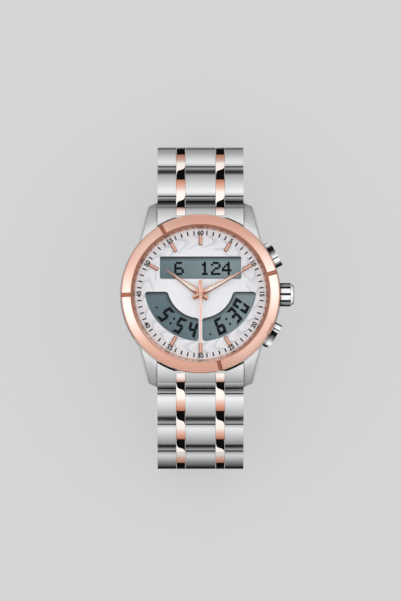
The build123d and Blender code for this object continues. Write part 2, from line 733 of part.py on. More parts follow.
def make_pusher(name, to_crown):
    """An oblong pusher: square towards the crown with two grooves, rounded at the far end."""
    with BuildPart() as pusher:
        angle = PUSHER_ANGLES[name]
        with BuildSketch(side_plane(angle).offset(PUSHER_IN)):
            RectangleRounded(PUSHER_LONG, PUSHER_HIGH, 0.45)
        extrude(amount=PUSHER_OUT - PUSHER_IN)
        a = radians(angle)
        from_above = Plane(origin=(0, 0, BACK + CROWN_Z), x_dir=(cos(a), -sin(a), 0),
                           z_dir=(0, 0, 1))
        end = -to_crown * PUSHER_LONG / 2
        start = end + PUSHER_ARC * to_crown
        with BuildSketch(from_above):
            with BuildLine():
                ThreePointArc((start, PUSHER_OUT), (end + 0.6 * to_crown, PUSHER_OUT - 0.3),
                              (end, PUSHER_OUT - PUSHER_END))
                Polyline((end, PUSHER_OUT - PUSHER_END), (end - to_crown, PUSHER_OUT - PUSHER_END),
                         (end - to_crown, PUSHER_OUT + 1), (start, PUSHER_OUT + 1),
                         (start, PUSHER_OUT))
            make_face()
        extrude(amount=2, both=True, mode=Mode.SUBTRACT)
        for place in PUSHER_GROOVES:
            with BuildSketch(side_plane(angle).offset(PUSHER_OUT - 0.12)):
                with Locations((place * to_crown, 0)):
                    Rectangle(0.16, PUSHER_HIGH + 1)
            extrude(amount=1, mode=Mode.SUBTRACT)
        with BuildSketch(side_plane(angle).offset(PUSHER_PLUG + 0.3)):
            Circle(STEM_R)
        extrude(amount=PUSHER_IN - PUSHER_PLUG)
        with BuildSketch(side_plane(angle).offset(PUSHER_PLUG)):
            Circle(0.95)
        extrude(amount=0.5)
    save(pusher, f"pusher_{name}")


# ------------------------------------------------------------------ clasp

def make_cover():
    end = CLASP_6_Y + COVER_OVER
    front = CLASP_12_Y - COVER_OVER
    with BuildPart() as cover:
        with BuildSketch(Plane.XY):
            with Locations((0, (end + front) / 2)):
                Rectangle(2 * COVER_HALF, front - end)
        extrude(amount=WALL_TOP)
        long_edges = cover.edges().filter_by(Axis.Y).group_by(Axis.Z)[0]
        fillet(long_edges, 0.6)
        with BuildSketch(Plane.XY.offset(COVER_THICK)):
            with Locations((0, (end + 1.0 + front) / 2 + 1)):
                Rectangle(2 * (COVER_HALF - WALL), front - end + 1.0)
        extrude(amount=5, mode=Mode.SUBTRACT)
        # opening under the front hinge, and side walls cut back beside the last row
        with BuildSketch(CLASP):
            with BuildLine():
                Polyline((front - 0.9, 2.6), (front + 0.5, 0.8), (front + 0.5, 5),
                         (FRONT_PIN_Y + 0.9, 5), (FRONT_PIN_Y + 0.9, 3.0), close=True)
            make_face()
        extrude(amount=12, both=True, mode=Mode.SUBTRACT)
        # tongues that reach for the pin of the last row
        with BuildSketch(CLASP.offset(BAR_IN)):
            with Locations(((CLASP_6_Y + 0.8 + end + 0.3) / 2, 1.9)):
                Rectangle(end + 0.3 - CLASP_6_Y - 0.8, 1.9)
        tongue = extrude(amount=BAR_OUT - BAR_IN)
        mirror(tongue, about=Plane.YZ)
        with BuildSketch(CLASP):
            with Locations((FRONT_PIN_Y, FRONT_PIN_Z)):
                Circle(CLASP_PIN + 0.04)
        extrude(amount=12, both=True, mode=Mode.SUBTRACT)
        with BuildSketch(Plane.YZ):
            with Locations((BUTTON_Y, BUTTON_Z)):
                SlotOverall(4.1, 1.5)
        extrude(amount=12, both=True, mode=Mode.SUBTRACT)
    save(cover, "clasp_cover")


def make_middle_blade():
    with BuildPart() as blade:
        with BuildSketch(CLASP):
            with BuildLine():
                Polyline((REAR_PIN_Y, MIDDLE_LOW), (FRONT_PIN_Y, MIDDLE_LOW),
                         (FRONT_PIN_Y, MIDDLE_LOW + BLADE_THICK),
                         (REAR_PIN_Y, MIDDLE_LOW + BLADE_THICK), close=True)
            make_face()
            with Locations((FRONT_PIN_Y, FRONT_PIN_Z)):
                Circle(0.8)
            with Locations((REAR_PIN_Y, REAR_PIN_Z)):
                Circle(0.95)
        extrude(amount=BLADE_HALF, both=True)
        # room for the inner blade's knuckle, and a lightening slot
        with BuildSketch(Plane.XY):
            with Locations((0, REAR_PIN_Y)):
                Rectangle(9.0, 2.6)
            with Locations((0, -3)):
                SlotOverall(22, 5, rotation=90)
        extrude(amount=5, mode=Mode.SUBTRACT)
        with BuildSketch(CLASP):
            with Locations((FRONT_PIN_Y, FRONT_PIN_Z), (REAR_PIN_Y, REAR_PIN_Z)):
                Circle(CLASP_PIN + 0.01)
        extrude(amount=12, both=True, mode=Mode.SUBTRACT)
    save(blade, "clasp_middle_blade")


def make_inner_blade():
    top = INNER_LOW + BLADE_THICK
    with BuildPart() as blade:
        with BuildSketch(CLASP):
            with BuildLine():
                Polyline((REAR_PIN_Y, INNER_LOW), (CLASP_12_Y - COVER_OVER, INNER_LOW),
                         (CLASP_12_Y - COVER_OVER, top), (REAR_PIN_Y, top), close=True)
            make_face()
        extrude(amount=BLADE_HALF, both=True)
        with BuildSketch(Plane.XY):
            with Locations((BLADE_HALF, BUTTON_Y), (-BLADE_HALF, BUTTON_Y)):
                Rectangle(3.2, 5.5)
            with Locations((6.7, REAR_PIN_Y), (-6.7, REAR_PIN_Y)):
                Rectangle(4.5, 2.6)
        extrude(amount=5, mode=Mode.SUBTRACT)
        with BuildSketch(CLASP):
            with Locations((REAR_PIN_Y, REAR_PIN_Z)):
                Circle(0.95)
        extrude(amount=4.4, both=True)
        # tongues between the blocks of the last row
        with BuildSketch(CLASP.offset(BAR_IN)):
            with Locations((CLASP_12_Y, LOW_HINGE)):
                Circle(1.3)
            with BuildLine():
                Polyline((CLASP_12_Y, LOW_HINGE - 0.4), (CLASP_12_Y, LOW_HINGE + 1.3),
                         (CLASP_12_Y - 2.6, top), (CLASP_12_Y - 2.6, INNER_LOW), close=True)
            make_face()
        tongue = extrude(amount=BAR_OUT - BAR_IN)
        mirror(tongue, about=Plane.YZ)
        with BuildSketch(CLASP):
            with Locations((REAR_PIN_Y, REAR_PIN_Z)):
                Circle(CLASP_PIN + 0.04)
            with Locations((CLASP_12_Y, LOW_HINGE)):
                Circle(PIN_TURN)
        extrude(amount=12, both=True, mode=Mode.SUBTRACT)
    save(blade, "clasp_inner_blade")


def make_clasp_pins():
    with BuildPart() as clasp_pins:
        pins(CLASP, [(FRONT_PIN_Y, FRONT_PIN_Z)], CLASP_PIN, COVER_HALF - 0.1)
        pins(CLASP, [(REAR_PIN_Y, REAR_PIN_Z)], CLASP_PIN, BLADE_HALF - 0.1)
    save(clasp_pins, "clasp_pins")


def make_button(name, side):
    with BuildPart() as button:
        with BuildSketch(Plane.YZ.offset(side * (COVER_HALF + 0.65))):
            with Locations((BUTTON_Y, BUTTON_Z)):
                SlotOverall(3.9, 1.3)
        cap = extrude(amount=-side * (WALL + 0.75))
        chamfer(cap.faces().sort_by(Axis.X)[-1 if side > 0 else 0].edges(), 0.2)
        with BuildSketch(Plane.YZ.offset(side * (COVER_HALF - WALL - 0.1))):
            with Locations((BUTTON_Y, 2.75)):
                Rectangle(4.6, 0.9)
        extrude(amount=-side * 0.6)
    save(button, name)


# ------------------------------------------------------------------ all the pieces

os.makedirs("parts", exist_ok=True)
BLOCK = block_outline()
make_mid_case()
make_case_tubes()
make_bezel()
turned("crystal", [(0, GLASS_LOW), (GLASS_R, GLASS_LOW), (GLASS_R, GLASS_TOP - 0.2),
                   (GLASS_R - 0.2, GLASS_TOP), (0, GLASS_TOP)])
turned("crystal_gasket", [(GLASS_R + 0.02, GLASS_LOW), (SEAL_R, GLASS_LOW),
                          (SEAL_R, GLASS_TOP - 0.25), (GLASS_R + 0.02, GLASS_TOP - 0.3)])
turned("rehaut_ring", [(REHAUT_IN + 0.05, DIAL_TOP + 0.02), (17.38, DIAL_TOP + 0.02),
                       (17.38, GLASS_LOW - 0.02), (17.2, GLASS_LOW - 0.02), (REHAUT_IN, 8.1)])
turned("case_back_gasket", [(17.02, 1.27), (17.38, 1.27), (17.38, 1.63), (17.02, 1.63)])
make_case_back()
make_back_screws()
make_spring_bars()
make_end_links()
make_end_link_bars()
make_dial()
make_lcd_panel()
make_markers()
for hand, sizes in HANDS.items():
    make_hand(hand, *sizes)
make_movement_ring()
make_movement_plate()
make_circuit_board()
make_battery()
make_motor_coil()
make_sounder()
make_crown()
make_stem()
make_setting_lever()
make_pusher("upper", 1)
make_pusher("lower", -1)
make_cover()
make_middle_blade()
make_inner_blade()
make_clasp_pins()
make_button("clasp_button_right", 1)
make_button("clasp_button_left", -1)
for side in ("12", "6"):
    for index in range(1, len(SLOPES[side]) + 1):
        make_row(side, index)
        make_bars(side, index)
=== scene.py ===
import json
from math import atan2, cos, degrees, hypot, pi, radians, sin, sqrt
import bmesh
import bpy
from mathutils import Matrix, Vector


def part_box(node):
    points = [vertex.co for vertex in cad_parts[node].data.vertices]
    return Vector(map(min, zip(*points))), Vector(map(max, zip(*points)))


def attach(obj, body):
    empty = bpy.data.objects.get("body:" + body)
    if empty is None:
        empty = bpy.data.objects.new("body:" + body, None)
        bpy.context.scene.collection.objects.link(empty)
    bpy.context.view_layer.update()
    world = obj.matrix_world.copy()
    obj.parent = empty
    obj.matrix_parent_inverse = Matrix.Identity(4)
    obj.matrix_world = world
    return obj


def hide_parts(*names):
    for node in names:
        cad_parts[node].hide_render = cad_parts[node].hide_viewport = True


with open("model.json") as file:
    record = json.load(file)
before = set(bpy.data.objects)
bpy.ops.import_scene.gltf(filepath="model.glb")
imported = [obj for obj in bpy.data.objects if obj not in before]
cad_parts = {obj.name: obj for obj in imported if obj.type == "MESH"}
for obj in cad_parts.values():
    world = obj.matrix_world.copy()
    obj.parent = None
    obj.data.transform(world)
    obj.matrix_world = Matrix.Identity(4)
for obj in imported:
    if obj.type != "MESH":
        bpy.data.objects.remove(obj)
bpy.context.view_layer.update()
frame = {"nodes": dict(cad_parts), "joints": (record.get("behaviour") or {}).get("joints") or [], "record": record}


# ==== Middle case ====
# A turned and milled steel ring with four lugs.  The lug tops are brushed along the strap, and
# the flanks and every broken edge are polished, so each corner carries a fine bright line.

MM = 0.001               # shapes are drawn in millimetres and scaled when they become pieces
BODY_OF = {node: body for body, nodes in frame["record"]["behaviour"]["bodies"].items()
           for node in nodes}
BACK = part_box("case_back")[0].z / MM       # height of the flat underside of the watch head


class Shade:
    """A node socket: plain arithmetic on it adds the Math nodes."""

    def __init__(self, tree, socket):
        self.tree, self.socket = tree, socket

    def math(self, operation, *sockets):
        return self.tree.node("ShaderNodeMath", {"operation": operation}, sockets)

    def __add__(self, other):
        return self.math("ADD", self, other)

    def __sub__(self, other):
        return self.math("SUBTRACT", self, other)

    def __rsub__(self, other):
        return self.math("SUBTRACT", other, self)

    def __mul__(self, other):
        return self.math("MULTIPLY", self, other)

    def __truediv__(self, other):
        return self.math("DIVIDE", self, other)

    def __pow__(self, other):
        return self.math("POWER", self, other)

    def __gt__(self, other):
        return self.math("GREATER_THAN", self, other)

    def __lt__(self, other):
        return self.math("LESS_THAN", self, other)

    __radd__ = __add__
    __rmul__ = __mul__

    def root(self):
        return self.math("SQRT", self)

    def sine(self):
        return self.math("SINE", self)

    def cosine(self):
        return self.math("COSINE", self)

    def size(self):
        return self.math("ABSOLUTE", self)

    def most(self, other):
        return self.math("MAXIMUM", self, other)

    def angle(self, across):
        return self.math("ARCTAN2", self, across)

    def span(self, start, end, low, high):
        """Carries the value from one range to another, and no further than its ends."""
        return self.tree.node("ShaderNodeMapRange", {}, [self, start, end, low, high])

    def ramp(self, *stops):
        """The colour at this place in a row of (place, colour) stops."""
        return self.tree.node("ShaderNodeValToRGB", {"stops": stops}, [self])


class Tree:
    """A node tree, and the one way that nodes are added to it."""

    def node(self, kind, settings=None, sockets=(), output=0):
        made = self.tree.nodes.new(kind)
        for name, value in (settings or {}).items():
            if name == "stops":
                stops = made.color_ramp.elements
                stops.remove(stops[1])
                stops[0].position, stops[0].color = value[0]
                for place, colour in value[1:]:
                    stops.new(place).color = colour
            else:
                setattr(made, name, value)
        pairs = sockets.items() if isinstance(sockets, dict) else enumerate(sockets)
        for name, value in pairs:
            self.feed(made.inputs[name], value)
        return Shade(self, made.outputs[output])

    def feed(self, socket, value):
        if isinstance(value, Shade):
            self.tree.links.new(value.socket, socket)
        else:
            socket.default_value = value


class Finish(Tree):
    """A material on the Principled shader."""

    def __init__(self, name, **surface):
        self.material = bpy.data.materials.new(name)
        self.material.use_nodes = True
        self.tree = self.material.node_tree
        self.surface = self.tree.nodes["Principled BSDF"]
        self.set(**surface)

    def set(self, **surface):
        for name, value in surface.items():
            self.feed(self.surface.inputs[name.replace("_", " ")], value)

    def place(self):
        """The point on the object, in millimetres."""
        point = self.node("ShaderNodeTexCoord", output=3)
        return self.node("ShaderNodeVectorMath", {"operation": "SCALE"},
                         {0: point, "Scale": 1 / MM})

    def axes(self, point):
        return [self.node("ShaderNodeSeparateXYZ", {}, [point], n) for n in range(3)]

    def vector(self, x, y, z):
        return self.node("ShaderNodeCombineXYZ", {}, [x, y, z])

    def stretch(self, point, along):
        return self.node("ShaderNodeVectorMath", {"operation": "MULTIPLY"}, [point, along])

    def noise(self, point, scale=1.0, detail=3.0, roughness=0.55):
        return self.node("ShaderNodeTexNoise", {}, {"Vector": point, "Scale": scale,
                                                    "Detail": detail, "Roughness": roughness})

    def blend(self, share, first, second):
        return self.node("ShaderNodeMix", {"data_type": "RGBA"}, {0: share, 6: first, 7: second}, 2)

    def relief(self, height, depth):
        """Raises the surface by height, 0 to 1, times a depth in millimetres."""
        self.set(Normal=self.node("ShaderNodeBump", {}, {"Height": height, "Distance": depth * MM}))


def paint(red, green, blue):
    """A screen colour, 0 to 255, made linear."""
    return [((part / 255 + 0.055) / 1.055) ** 2.4 for part in (red, green, blue)] + [1]


def brushed(name, bright, dull, comb, rough, depth, painted_light=None, other=None, **surface):
    """Metal with a fine grain.  comb turns a point into the grain's own coordinates, and an optional
    last function gives the share of painted shade or painted highlight there, in the other tone."""
    finish = Finish(name, Metallic=1.0, **surface)
    point = finish.place()
    grain = finish.noise(comb(finish, point), 1.0, 4.0, 0.6)
    smudge = finish.noise(point, 0.22, 2.0)
    tone = finish.blend(grain, dull, bright)
    if painted_light:
        # painted shade or painted highlight, laid over the grain
        tone = finish.blend(painted_light(finish, point), tone, other or SHADE_GREY)
    finish.set(Base_Color=tone, Roughness=rough - 0.05 + 0.12 * grain + 0.08 * smudge)
    finish.relief(grain, depth)
    return finish


def polished(name, bright, dull, rough):
    """Mirror-bright metal with faint smears and hairline scratches."""
    finish = Finish(name, Metallic=1.0)
    point = finish.place()
    smear = finish.noise(point, 0.35, 3.0)
    hairs = finish.noise(finish.stretch(point, (9.0, 0.8, 3.0)), 1.0, 5.0, 0.7)
    finish.set(Base_Color=finish.blend(smear * 0.6, bright, dull),
               Roughness=rough + 0.05 * smear + 0.1 * hairs ** 6)
    return finish


def lengthwise(finish, point):
    """Scratches that run along the strap, whichever way a block is tilted."""
    return finish.stretch(point, (9.0, 0.12, 0.12))


def concentric(finish, point):
    """Scratches left by turning: rings about the middle of the dial."""
    x, y, z = finish.axes(point)
    return finish.vector((x * x + y * y).root() * 9.0, y.angle(x) * 1.5, z)


def mottled(name, scale, first, second, **surface):
    """A plain material with a faint cloud of a second tone."""
    finish = Finish(name, **surface)
    finish.set(Base_Color=finish.blend(finish.noise(finish.place(), scale), first, second))
    return finish


def soften(shape, width, corner=28):
    """Breaks the sharp edges of a solid with a small rounded bevel."""
    sharp = [edge for edge in shape.edges
             if edge.is_manifold and edge.calc_face_angle() > radians(corner)]
    bmesh.ops.bevel(shape, geom=sharp, offset=width, segments=2, profile=0.6,
                    affect="EDGES", clamp_overlap=False, loop_slide=True)


def piece(shape, name, body, finishes, stands_for=(), choose=None, crease=32):
    """Makes a drawn shape a piece of the watch that moves with a body."""
    bmesh.ops.recalc_face_normals(shape, faces=shape.faces)
    for face in shape.faces:
        face.smooth = True
        if choose:
            face.material_index = choose(face.normal, face.calc_center_median())
    bmesh.ops.scale(shape, vec=(MM, MM, MM), verts=shape.verts)
    mesh = bpy.data.meshes.new(name)
    shape.to_mesh(mesh)
    shape.free()
    mesh.set_sharp_from_angle(angle=radians(crease))
    made = bpy.data.objects.new(name, mesh)
    bpy.context.scene.collection.objects.link(made)
    for finish in finishes:
        mesh.materials.append(finish.material)
    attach(made, body)
    if stands_for:
        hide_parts(*stands_for)
    return made


def dress(node, name, finishes, width=0.08, choose=None, crease=32):
    """A copy of a plain solid with its edges broken, standing in for that solid."""
    shape = bmesh.new()
    shape.from_mesh(frame["nodes"][node].data)
    bmesh.ops.scale(shape, vec=(1 / MM, 1 / MM, 1 / MM), verts=shape.verts)
    bmesh.ops.remove_doubles(shape, verts=shape.verts, dist=0.001)
    bmesh.ops.dissolve_limit(shape, angle_limit=radians(0.5), verts=shape.verts,
                             edges=shape.edges)
    if width:
        soften(shape, width)
    return piece(shape, name, BODY_OF[node], finishes, [node], choose, crease)


# the last grey is painted shade, which a brushed metal's painted light falls to by default
STEEL, STEEL_DULL, SHADE_GREY = paint(234, 234, 234), paint(208, 208, 208), paint(92, 92, 92)
GRAIN = 0.012            # depth of the brushing
LUG_ROOT, LUG_TIP = 15.0, 23.0             # along the strap from the middle of the dial
LUG_SPLAY, LUG_RIM = 0.2415, 15.6          # slope and reach of the painted highlight along a lug's outer edge
FLANK_LOW, FLANK_HIGH = BACK + 1.0, 7.6    # foot and height of the case's polished flank


def toward_tip(finish, point):
    """Painted shade deepens the lugs towards their tips; a painted highlight keeps them bright
    beside the bezel and along their outer edge.
    """
    x, y, z = finish.axes(point)
    share = y.size().span(LUG_ROOT, LUG_TIP, 0.1, 0.66)
    share = share * (x * x + y * y).root().span(20.6, 22.0, 0.0, 1.0)
    return share * (x.size() + (y.size() - 12.0) * LUG_SPLAY < LUG_RIM)


brushed_steel = brushed("brushed_steel", STEEL, STEEL_DULL, lengthwise, 0.3, GRAIN)
lug_steel = brushed("lug_steel", STEEL, STEEL_DULL, lengthwise, 0.3, GRAIN, toward_tip)
turned_steel = brushed("turned_steel", STEEL, STEEL_DULL, concentric, 0.28, GRAIN,
                       Anisotropic=0.5)
polished_steel = polished("polished_steel", STEEL, STEEL_DULL, 0.07)
# near black: painted shade in the gaps beside the end links, painted dark reflection on the gold bars
shade_and_reflection_black = polished("shade_and_reflection_black", paint(8, 8, 9), paint(20, 20, 21), 0.15)
# Painted reflection and painted shade on the polished flank, set by height.
flank_steel = Finish("polished_flank", Metallic=1.0)
point = flank_steel.place()
x, y, z = flank_steel.axes(point)
rise = (z - FLANK_LOW) / FLANK_HIGH        # painted reflection: pale across the middle, painted shade at its foot and under the bezel
flank_steel.set(Base_Color=rise.ramp(
    (0.0, paint(120, 121, 123)), (0.3, paint(226, 227, 229)), (0.6, paint(232, 233, 235)),
    (0.78, paint(110, 111, 113)), (0.88, paint(30, 30, 32)), (1.0, paint(24, 24, 26))),
    Roughness=0.07 + 0.08 * flank_steel.noise(point, 0.5))


def case_faces(normal, centre):
    """Lug tops brushed, the faces beside the end links painted black as shade in their gaps, the
    flank with its painted reflection, the rest polished.
    """
    on_lug = abs(centre.y) > 11
    if on_lug and abs(normal.x) > 0.7 and abs(centre.x) < 11.2:
        return 2
    if on_lug and normal.z > 0.3 and abs(centre.x) > 10.6:
        return 0
    return 3 if 19 < hypot(centre.x, centre.y) < 20.8 and centre.z > FLANK_LOW else 1


dress("mid_case", "case_band", [lug_steel, polished_steel, shade_and_reflection_black, flank_steel],
      0.12, case_faces)


# ==== Tubes, seals and case back ====
# The crown and pusher tubes are pressed into bores in the case.  The back is a turned steel
# plate on a rubber ring, held by four small slotted screws.

seal_rubber = mottled("seal_rubber", 6.0, paint(28, 28, 30), paint(52, 52, 54), Roughness=0.6,
                      Specular_IOR_Level=0.3)
small_steel = brushed("small_turned_steel", STEEL, paint(168, 169, 172), concentric, 0.24, 0.006)

dress("case_tubes", "crown_and_pusher_tubes", [small_steel], 0.04)
dress("case_back", "back_plate", [turned_steel, polished_steel], 0.1,
      lambda normal, centre: 0 if normal.z < -0.99 else 1)
dress("case_back_screws", "back_screw_heads", [polished_steel], 0.03)


def coat(finish, *nodes):
    """Gives a solid that is already right its finish."""
    for node in nodes:
        slots = frame["nodes"][node].data.materials
        slots.clear()
        slots.append(finish.material)


coat(seal_rubber, "case_back_gasket")


# ==== Movement ====
# A moulded holder ring keeps the works centred: a nickel-plated plate, a green circuit board
# with its chips, a steel button cell, the stepping motor's coil and a brass sounder disc.

holder_plastic = mottled("holder_plastic", 2.5, paint(206, 204, 198), paint(222, 220, 214),
                         Roughness=0.45)
plated_metal = brushed("nickel_plate", paint(214, 212, 204), paint(176, 174, 168), lengthwise,
                       0.25, 0.008)
board_green = Finish("board_green", Roughness=0.35, Coat_Weight=0.4)
x, y, z = board_green.axes(board_green.place())
tracks = ((x * 2.1 + (y * 1.3).sine() * 1.4).sine().size() > 0.9) * 1.0
tracks = tracks * ((y * 1.7 + (x * 0.9).sine() * 1.8).sine() > -0.2)
board_green.set(Base_Color=board_green.blend(tracks, paint(20, 74, 52), paint(64, 122, 84)),
                Roughness=0.4 - 0.12 * tracks)
cell_steel = brushed("cell_steel", paint(205, 205, 203), paint(160, 160, 158), concentric,
                     0.22, 0.006)
copper_wire = Finish("copper_wire", Metallic=1.0, Roughness=0.3)
x, y, z = copper_wire.axes(copper_wire.place())
turns = (x * 60.0).sine() * 0.5 + 0.5
copper_wire.set(Base_Color=copper_wire.blend(turns, paint(120, 58, 30), paint(214, 128, 84)))
copper_wire.relief(turns, 0.04)
sounder_brass = brushed("sounder_brass", paint(222, 190, 116), paint(176, 142, 78), concentric,
                        0.26, 0.006)

coat(holder_plastic, "movement_ring")
coat(plated_metal, "movement_plate", "setting_lever", "winding_stem")
coat(board_green, "circuit_board")
coat(cell_steel, "battery")
coat(copper_wire, "motor_coil")
coat(sounder_brass, "piezo_sounder")


# ==== Display panel ====
# One reflective liquid crystal panel lies under the dial and shows through its three windows:
# a dot-matrix line at the top, and seven-bar figures that follow the arcs below.

PANEL_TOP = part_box("lcd_panel")[1].z / MM
ARC_Y = 2.4              # centre of the two lower windows' arcs, above the middle of the dial
CELLS = 13.4             # pi over the pitch of the panel's fine cells
display_grey = Finish("display_grey", Roughness=0.4, Specular_IOR_Level=0.15)
point = display_grey.place()
x, y, z = display_grey.axes(point)
cells = ((x * CELLS).sine().size() > 0.18) * ((y * CELLS).sine().size() > 0.18)
cloud = display_grey.noise(point, 0.16, 2.0)
# painted sheen: the panel is painted lighter towards its upper right
slant = (x + y * 0.5).span(-11.0, 12.0, 0.0, 0.75)
glass = display_grey.blend(slant + cloud * 0.3 + cells * 0.12, paint(80, 104, 112),
                           paint(138, 156, 161))
# the dial above shades the panel along the upper edge of each window
from_arc = (x * x + (y - ARC_Y) * (y - ARC_Y)).root()
in_lower = y < 2.0
shade = y.span(8.3, 9.35, 0.0, 0.75)
shade = shade.most(from_arc.span(8.7, 9.6, 0.7, 0.0) * in_lower)
shade = shade.most(y.span(-0.5, 0.4, 0.0, 0.7) * in_lower)
display_grey.set(Base_Color=display_grey.blend(shade, glass, paint(34, 40, 44)))
display_ink = mottled("display_ink", 3.0, paint(8, 10, 14), paint(20, 24, 28), Roughness=0.5,
                      Specular_IOR_Level=0.05)

BARS = {"0": "abcdef", "1": "bc", "2": "abged", "3": "abgcd", "4": "fgbc", "5": "afgcd",
        "6": "afgcde"}
DOTS = {"0": "01110 10001 10011 10101 11001 10001 01110",
        "1": "00100 01100 00100 00100 00100 00100 01110",
        "2": "01110 10001 00001 00110 01000 10000 11111",
        "4": "00010 00110 01010 10010 11111 00010 00010",
        "6": "01110 10000 10000 11110 10001 10001 01110"}
DOT, DOT_HALF = 0.47, 0.29                 # pitch of the dot matrix and half a dot's width
CHARACTER, LINE_Y = 2.78, 6.55             # pitch and middle height of the line of characters
FIGURE_WIDE, FIGURE_HIGH, BAR = 2.25, 4.25, 0.76
FIGURE_REACH, COLON_REACH, COLON_HALF = 11.6, (10.9, 12.4), 0.28
LOWER_LINES = ((-1, (("5", 49.5), (":", 37.9), ("5", 27.0), ("4", 10.2))),
               (1, (("6", 25.6), (":", 37.0), ("3", 47.7), ("0", 62.4))))
SMALL_ARROWS = ((-62.3, 12.5), (11.8, 12.8))              # angle along the arc, reach


def flake(shape, corners, low, high):
    """A thin flat plate from its corners (x, y)."""
    rings = [[shape.verts.new((x, y, z)) for x, y in corners] for z in (low, high)]
    shape.faces.new(rings[1])
    shape.faces.new(list(reversed(rings[0])))
    for n in range(len(corners)):
        m = (n + 1) % len(corners)
        shape.faces.new((rings[0][n], rings[0][m], rings[1][m], rings[1][n]))


def seven_bars(figure):
    """Corners of the lit bars of a figure, centred on its own middle and leaning a little."""
    w, h, b, gap = FIGURE_WIDE / 2, FIGURE_HIGH / 2, BAR, 0.05
    flat = {"a": h, "g": b / 2, "d": -h + b}
    upright = {"f": (-w, 0), "b": (w, 0), "e": (-w, -h), "c": (w, -h)}
    plates = []
    for bar in BARS[figure]:
        if bar in flat:
            top = flat[bar]
            cut = b / 2 if bar == "g" else b
            plate = [(-w + gap, top), (w - gap, top), (w - cut, top - b), (-w + cut, top - b)]
            if bar == "d":
                plate = [(-w + cut, top), (w - cut, top), (w - gap, top - b), (-w + gap, top - b)]
            if bar == "g":
                plate = [(-w + b / 2, b / 2), (w - b / 2, b / 2), (w - b / 4, 0),
                         (w - b / 2, -b / 2), (-w + b / 2, -b / 2), (-w + b / 4, 0)]
        else:
            edge, foot = upright[bar]
            into = b if edge < 0 else -b
            low, high = foot + gap, foot + h - gap
            plate = [(edge, low), (edge, high), (edge + into, high - b * 0.6),
                     (edge + into, low + b * 0.6)]
        plates.append([(x + 0.12 * y, y) for x, y in plate])
    return plates


def square(half):
    return [(-half, -half), (half, -half), (half, half), (-half, half)]


def place_flat(corners, x, y, turn):
    return [(x + u * cos(turn) - v * sin(turn), y + u * sin(turn) + v * cos(turn))
            for u, v in corners]


figures = bmesh.new()
layer = (PANEL_TOP, PANEL_TOP + 0.015)
for first, glyphs in ((-5.43, "6"), (1.1, "124")):
    for n, glyph in enumerate(glyphs):
        for row, line in enumerate(DOTS[glyph].split()):
            for column, lit in enumerate(line):
                if lit == "1":
                    x = first + CHARACTER * n + DOT * (column - 2)
                    y = LINE_Y + DOT * (3 - row)
                    flake(figures, place_flat(square(DOT_HALF), x, y, 0), *layer)
for side, text in LOWER_LINES:
    for figure, angle in text:
        turn = side * radians(angle)
        for reach in COLON_REACH if figure == ":" else [FIGURE_REACH]:
            x, y = reach * sin(turn), ARC_Y - reach * cos(turn)
            for plate in [square(COLON_HALF)] if figure == ":" else seven_bars(figure):
                flake(figures, place_flat(plate, x, y, turn), *layer)
for angle, reach in SMALL_ARROWS:
    turn = radians(angle)
    x, y = reach * sin(turn), ARC_Y - reach * cos(turn)
    flake(figures, place_flat([(-0.3, -0.35), (0.35, 0), (-0.3, 0.35)], x, y, turn), *layer)
piece(figures, "display_figures", "head", [display_ink])
coat(display_grey, "lcd_panel")


# ==== Dial ====
# A lacquered metal plate with three windows cut in it, each with a bevelled silver rim.  The
# outer ring carries a pressed leaf pattern, and the minute track is printed in black.

DIAL_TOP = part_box("dial")[1].z / MM
LEAVES, LEAF_IN, LEAF_OUT = 24, 11.8, 15.0                # count and radii of the leaf ring
TRACK_RADIUS, FIGURE_RADIUS, FIGURE_SIZE = 15.58, 15.6, 1.12
INK = 0.006              # half the thickness of the print
pearl = Finish("pearl_lacquer", Roughness=0.3, Coat_Weight=0.35)
point = pearl.place()
x, y, z = pearl.axes(point)
radius = (x * x + y * y).root()
petal = y.angle(x) * (LEAVES / (2 * pi)) + ((radius - LEAF_IN) * 0.85).sine() * 0.9
petal = petal.math("FRACT", petal)
leaf = (radius > LEAF_IN) * (radius < LEAF_OUT) * petal ** 3
shimmer = pearl.noise(point, 0.25, 2.0)
pearl.set(Base_Color=pearl.blend(leaf * 0.7 + shimmer * 0.12, paint(246, 247, 251),
                                 paint(200, 204, 216)))
pearl.relief(leaf, 0.1)
window_rim = brushed("window_rim_silver", paint(242, 244, 248), paint(212, 216, 222), lengthwise,
                     0.3, 0.004)
rim_shade = brushed("window_rim_shade", paint(112, 110, 112), paint(78, 76, 78), lengthwise,
                    0.4, 0.004)


def dial_faces(normal, centre):
    """Lacquer on the flat, silver on the window rims, and shade under their upper edges."""
    if abs(normal.z) > 0.95:
        return 0
    return 2 if normal.y < -0.1 and hypot(centre.x, centre.y) < 16 else 1


dress("dial", "dial_plate", [pearl, window_rim, rim_shade], 0.14, dial_faces)

print_black = mottled("printed_black", 4.0, paint(12, 12, 16), paint(28, 28, 32), Roughness=0.5,
                      Specular_IOR_Level=0.1)


